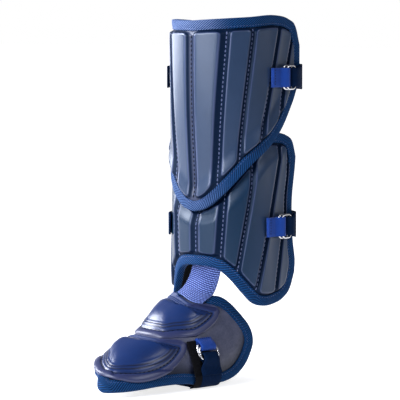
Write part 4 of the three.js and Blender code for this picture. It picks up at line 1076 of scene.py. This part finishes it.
def cinch(name, origin, along, out, across, tab_length):
    """A tab folded round its two rings. Returns how to place points there, and the fold of the strap that the
    rings hold. Lengths run from the tab's sewn end towards the strap, and lifts from the padding outward."""

    def place(length, lift, width=0.0):
        length, lift, width = np.broadcast_arrays(*(np.asarray(x, float) for x in (length, lift, width)))
        return origin + length[..., None] * along + lift[..., None] * out + width[..., None] * across

    def layers(thickness):
        clear = WIRE / 2 + WIRE_GAP + thickness / 2
        return WIRE_LOW - clear, WIRE_HIGH + clear

    fold = tab_length - (WIRE_HIGH - WIRE_LOW + WIRE) / 2 - WIRE_GAP - TAB_THICKNESS
    upper_front = fold - RING_PLAY
    lower_front = upper_front - RING_OFFSET
    bar = lower_front + RING_LENGTH
    low, high = layers(TAB_THICKNESS)
    sewn = low + TAB_THICKNESS + WIRE_GAP
    crease = (fold - TAB_CREASE[0], high - TAB_CREASE[1])
    bends = [(0, low), (fold / 2, low), *fold_points(fold, low, high, 1), crease]
    path = np.concatenate([bends, np.linspace((fold - TAB_SEAM, sewn), (0, sewn), 4)])
    widths = np.full(len(path), TAB_WIDTH)
    tab = flat_strip(f"{name}_tab_loop", place(*path.T), across, TAB_THICKNESS, widths, royal)
    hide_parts(f"{name}_tab")
    for ring, front, lift in (("inner", lower_front, WIRE_LOW), ("outer", upper_front, WIRE_HIGH)):
        wire = wire_ring(f"{name}_ring_{ring}_wire", place, front, lift)
        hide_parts(f"{name}_ring_{ring}")
    seam_edge = np.linspace(-0.5, 0.5, 24) * (TAB_WIDTH - 1)
    line = place(min(SEWN_EDGE, (fold - TAB_SEAM) / 2), sewn + TAB_THICKNESS / 2, seam_edge)
    seam(f"{name}_tab_seam", [(line, np.broadcast_to(out, line.shape))], TAB_STITCH, dark_thread)
    strap_low, strap_high = layers(STRAP_THICKNESS)
    turned = place(*fold_points(bar, strap_low, strap_high, -1)[::-1].T)
    return place, turned, (bar + RING_OFFSET + BAR_CLEAR, strap_high), strap_low


def strap(name, doubled, turned, main, sewn, across):
    """A strap from its doubled end through the rings to its sewn end, gathered inside the rings."""
    points = np.concatenate([doubled, turned, main, sewn])
    widths = np.full(len(points), float(STRAP_WIDTH))
    widths[-len(sewn) :] = SEWN_WIDTH
    widths[len(doubled) - 1 : len(doubled) + len(turned)] = STRAP_NECK
    piece = flat_strip(f"{name}_strap_band", points, across, STRAP_THICKNESS, widths, elastic)
    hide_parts(f"{name}_strap")


x_way, y_way, z_way = np.eye(3)
for name, size in CALF_STRAPS.items():
    level, edge_arc = size["height"], size["edge_arc"]
    radii = look_up(LEG, "height", np.array([-0.5, 0, 0.5]) * STRAP_WIDTH + level, "radius")
    radius, quarter = max(radii[0], radii[2]), radii[1] * math.pi / 2
    origin = np.array([radius + CROWN_LIFT, size["arc"] - quarter, level])
    place, turned, over_bars, strap_low = cinch(name, origin, y_way, x_way, z_way, CALF_TAB_LENGTH)
    angle = np.radians(np.linspace(0, 180, LOOP_STEPS))
    drawn_x = np.sign(np.cos(angle)) * np.abs(np.cos(angle)) ** LOOP_POWER
    drawn_y = np.abs(np.sin(angle)) ** LOOP_POWER
    edge_x, edge_y = radius + EDGE_LIFT, edge_arc - quarter
    loop = np.stack([edge_x * drawn_x, edge_y + LOOP_DEPTH * drawn_y, level + 0 * angle], -1)
    lap_end = (edge_x + STRAP_THICKNESS + STRAP_LAP, edge_y - LAP_END, level)
    doubled = np.array([lap_end, place(*over_bars)])
    arcs = np.append(np.arange(edge_arc - EDGE_RUN, size["sewn_arc"], -SEWN_STEP), size["sewn_arc"])
    sewn = leg_point(-arcs, level + 0 * arcs, radius - radii[1] + CROWN_LIFT + strap_low)
    strap(name, doubled, turned, loop, sewn, z_way)

origin = foot_point(FOOT_TAB_TURN, FOOT_STRAP_AHEAD, PAD_LIFT)
along = unit(foot_point(FOOT_TAB_TURN + FOOT_TAB_SPAN, FOOT_STRAP_AHEAD, PAD_LIFT) - origin)
across = from_foot(1, 0, 0)
out = unit(np.cross(across, along))
out = out * np.sign(out[2])
place, turned, (bar_end, bar_lift), strap_low = cinch("foot", origin, along, out, across, FOOT_TAB_LENGTH)
lapped = strap_low + STRAP_THICKNESS + STRAP_LAP
lap_end = bar_end + FOOT_LAP
doubled = place(np.linspace(lap_end, bar_end, 3), np.array([lapped, lapped, bar_lift]))
walls = {
    side: look_up(FOOT, "ahead", FOOT_STRAP_AHEAD, side) + clear for side, clear in FOOT_STRAP_CLEAR.items()
}
flat_run, flat_up = SOLE_BEND[-1]
under_sole = [place(lap_end, strap_low)]
under_sole += [from_foot(FOOT_STRAP_AHEAD, walls["half"] - inward, up) for inward, up in SOLE_BEND]
for outward in np.linspace(walls["half"] - flat_run, flat_run - walls["inner"], 6)[1:-1]:
    under_sole.append(from_foot(FOOT_STRAP_AHEAD, outward, flat_up))
under_sole += [from_foot(FOOT_STRAP_AHEAD, inward - walls["inner"], up) for inward, up in SOLE_BEND[::-1]]
share = np.linspace(0, 1, 6)
low_to_sewn = FOOT_LOW_TURN + (FOOT_SEWN_TURN - FOOT_LOW_TURN) * share
up_the_side = foot_point(-low_to_sewn, FOOT_STRAP_AHEAD, FOOT_SEWN_LIFT + FOOT_SEWN_RISE * (1 - share))
strap("foot", doubled, turned, np.array(under_sole), up_the_side, across)

# Painted shadow of the foot strap. A strip of black knit laid on the pad beside the tab and turned under the
# sole, where the strap's shadow falls. It shows along the strap's front edge.
SHADOW_STRIP_WIDTH, SHADOW_STRIP_THICKNESS, SHADOW_STRIP_AHEAD, SHADOW_STRIP_START = 14, 1.2, 16, 2
beside_tab = place(np.linspace(SHADOW_STRIP_START, lap_end, 6), strap_low, SHADOW_STRIP_AHEAD)
shadow_strip_ahead = FOOT_STRAP_AHEAD + SHADOW_STRIP_AHEAD
beside_sole = [from_foot(shadow_strip_ahead, walls["half"] - inward, up) for inward, up in SOLE_BEND]
points = np.concatenate([beside_tab, beside_sole])
widths = np.full(len(points), SHADOW_STRIP_WIDTH)
flat_strip("foot_strap_painted_shadow", points, across, SHADOW_STRIP_THICKNESS, widths, knit)

# Studio. A pale seamless floor that brightens away from the camera into a white backdrop, a broad softbox at
# the inner front, a panel ahead and a strip on either side. The camera is level with the guard's top, on the
# outer side.
FLOOR_SIZE, FLOOR_HEIGHT = 40.0, -SEAT_HEIGHT / 1000
CAMERA_TURN, CAMERA_AWAY, CAMERA_HEIGHT, AIM_HEIGHT = math.radians(40), 2600, 410, 205
PIXEL, IMAGE = 1.1, 400  # millimetres at the guard that one pixel shows, and pixels across the image
AXIS_LEFT, AIM_DOWN = 25.4, 8.0  # pixels by which the frame's middle lies left of the axis and below the aim
SENSOR = 36
AWAY = (-math.sin(CAMERA_TURN), math.cos(CAMERA_TURN), 0)  # the way that the camera looks, level
FLOOR_NEAR, FLOOR_FAR = (-1.2, -0.1), (-0.1, 3.0)  # the floor's glow grows over these stretches, that way
GLOW_LEAST, GLOW_NEAR, GLOW_FAR = 0.2, 0.58, 0.24
BACKDROP_EDGE = (0.88, 0.98)  # cosines of the turn from that way where the backdrop fades
BACKDROP_LEAST = 0.14  # its light elsewhere
SOFTBOXES = {  # turn from the front, distance, height above the floor, width, height, watts
    "key_softbox": (-62, 1.6, 1.2, 1.0, 0.85, 68),
    "front_panel": (-4, 1.8, 0.9, 0.7, 1.0, 50),
    "inner_strip": (-86, 1.7, 0.5, 0.5, 0.6, 13),
    "side_strip": (96, 1.6, 1.4, 0.35, 0.8, 10),
}
LAMP_COLOUR, LAMP_AIM = (0.88, 0.91, 1.0), (0, -0.03, -0.05)


def away_from_camera(finish, spot):
    """How far a spot lies the way that the camera looks."""
    return finish.node("ShaderNodeVectorMath", {"operation": "DOT_PRODUCT"}, {0: spot, 1: AWAY}, "Value")


paint = Finish("pale_floor", Roughness=0.9, Emission_Strength=1.0)
behind = away_from_camera(paint, paint.space())
glow = GLOW_LEAST + GLOW_NEAR * behind.clamped(*FLOOR_NEAR) + GLOW_FAR * behind.clamped(*FLOOR_FAR)
paint.drive(
    Base_Color=paint.mix(paint.noise(400), srgb(186, 186, 188), srgb(192, 192, 194)),
    Emission_Color=paint.mix(glow, srgb(0, 0, 0), srgb(255, 255, 255)),
)
floor_mesh = bpy.data.meshes.new("floor")
half = FLOOR_SIZE / 2
corners = [(x, y, FLOOR_HEIGHT) for x, y in ((-half, -half), (half, -half), (half, half), (-half, half))]
floor_mesh.from_pydata(corners, [], [(0, 1, 2, 3)])
floor_mesh.materials.append(paint.owner)
floor = bpy.data.objects.new("floor", floor_mesh)
bpy.context.scene.collection.objects.link(floor)
floor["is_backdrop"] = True

bpy.context.scene.view_settings.view_transform = "Standard"
backdrop = Finish(bpy.data.worlds.new("studio"), "Background", Color=srgb(255, 255, 255))
facing = away_from_camera(backdrop, backdrop.node("ShaderNodeTexCoord", {}, {}, "Generated"))
backdrop.drive(Strength=BACKDROP_LEAST + (1 - BACKDROP_LEAST) * facing.clamped(*BACKDROP_EDGE))
bpy.context.scene.world = backdrop.owner


def look_from(thing, place, aim):
    """Puts a lamp or camera at a place, turned to face a point."""
    thing.location = place
    thing.rotation_euler = (Vector(aim) - Vector(place)).to_track_quat("-Z", "Y").to_euler()
    bpy.context.scene.collection.objects.link(thing)


for name, (turn, away, up, width, height, watts) in SOFTBOXES.items():
    lamp = bpy.data.lights.new(name, "AREA")
    lamp.shape = "RECTANGLE"
    lamp.size, lamp.size_y = width, height
    lamp.energy, lamp.color = watts, LAMP_COLOUR
    angle = math.radians(turn)
    place = (away * math.sin(angle), -away * math.cos(angle), up + FLOOR_HEIGHT)
    look_from(bpy.data.objects.new(name, lamp), place, LAMP_AIM)

camera = bpy.data.cameras.new("camera")
camera.sensor_width = SENSOR
camera.lens = CAMERA_AWAY / PIXEL * SENSOR / IMAGE
right = np.array([math.cos(CAMERA_TURN), math.sin(CAMERA_TURN), 0])
moved = -AXIS_LEFT * PIXEL * right - (0, 0, AIM_DOWN * PIXEL + SEAT_HEIGHT)
eye_at = (moved + (0, 0, CAMERA_HEIGHT) - CAMERA_AWAY * np.array(AWAY)) / 1000
aim_at = (moved + (0, 0, AIM_HEIGHT)) / 1000
viewer = bpy.data.objects.new("camera", camera)
look_from(viewer, eye_at.tolist(), aim_at.tolist())
bpy.context.scene.camera = viewer

boxes = {"cad": cad_box, "visual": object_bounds()}
{name: [list(corner) for corner in box] for name, box in boxes.items()}
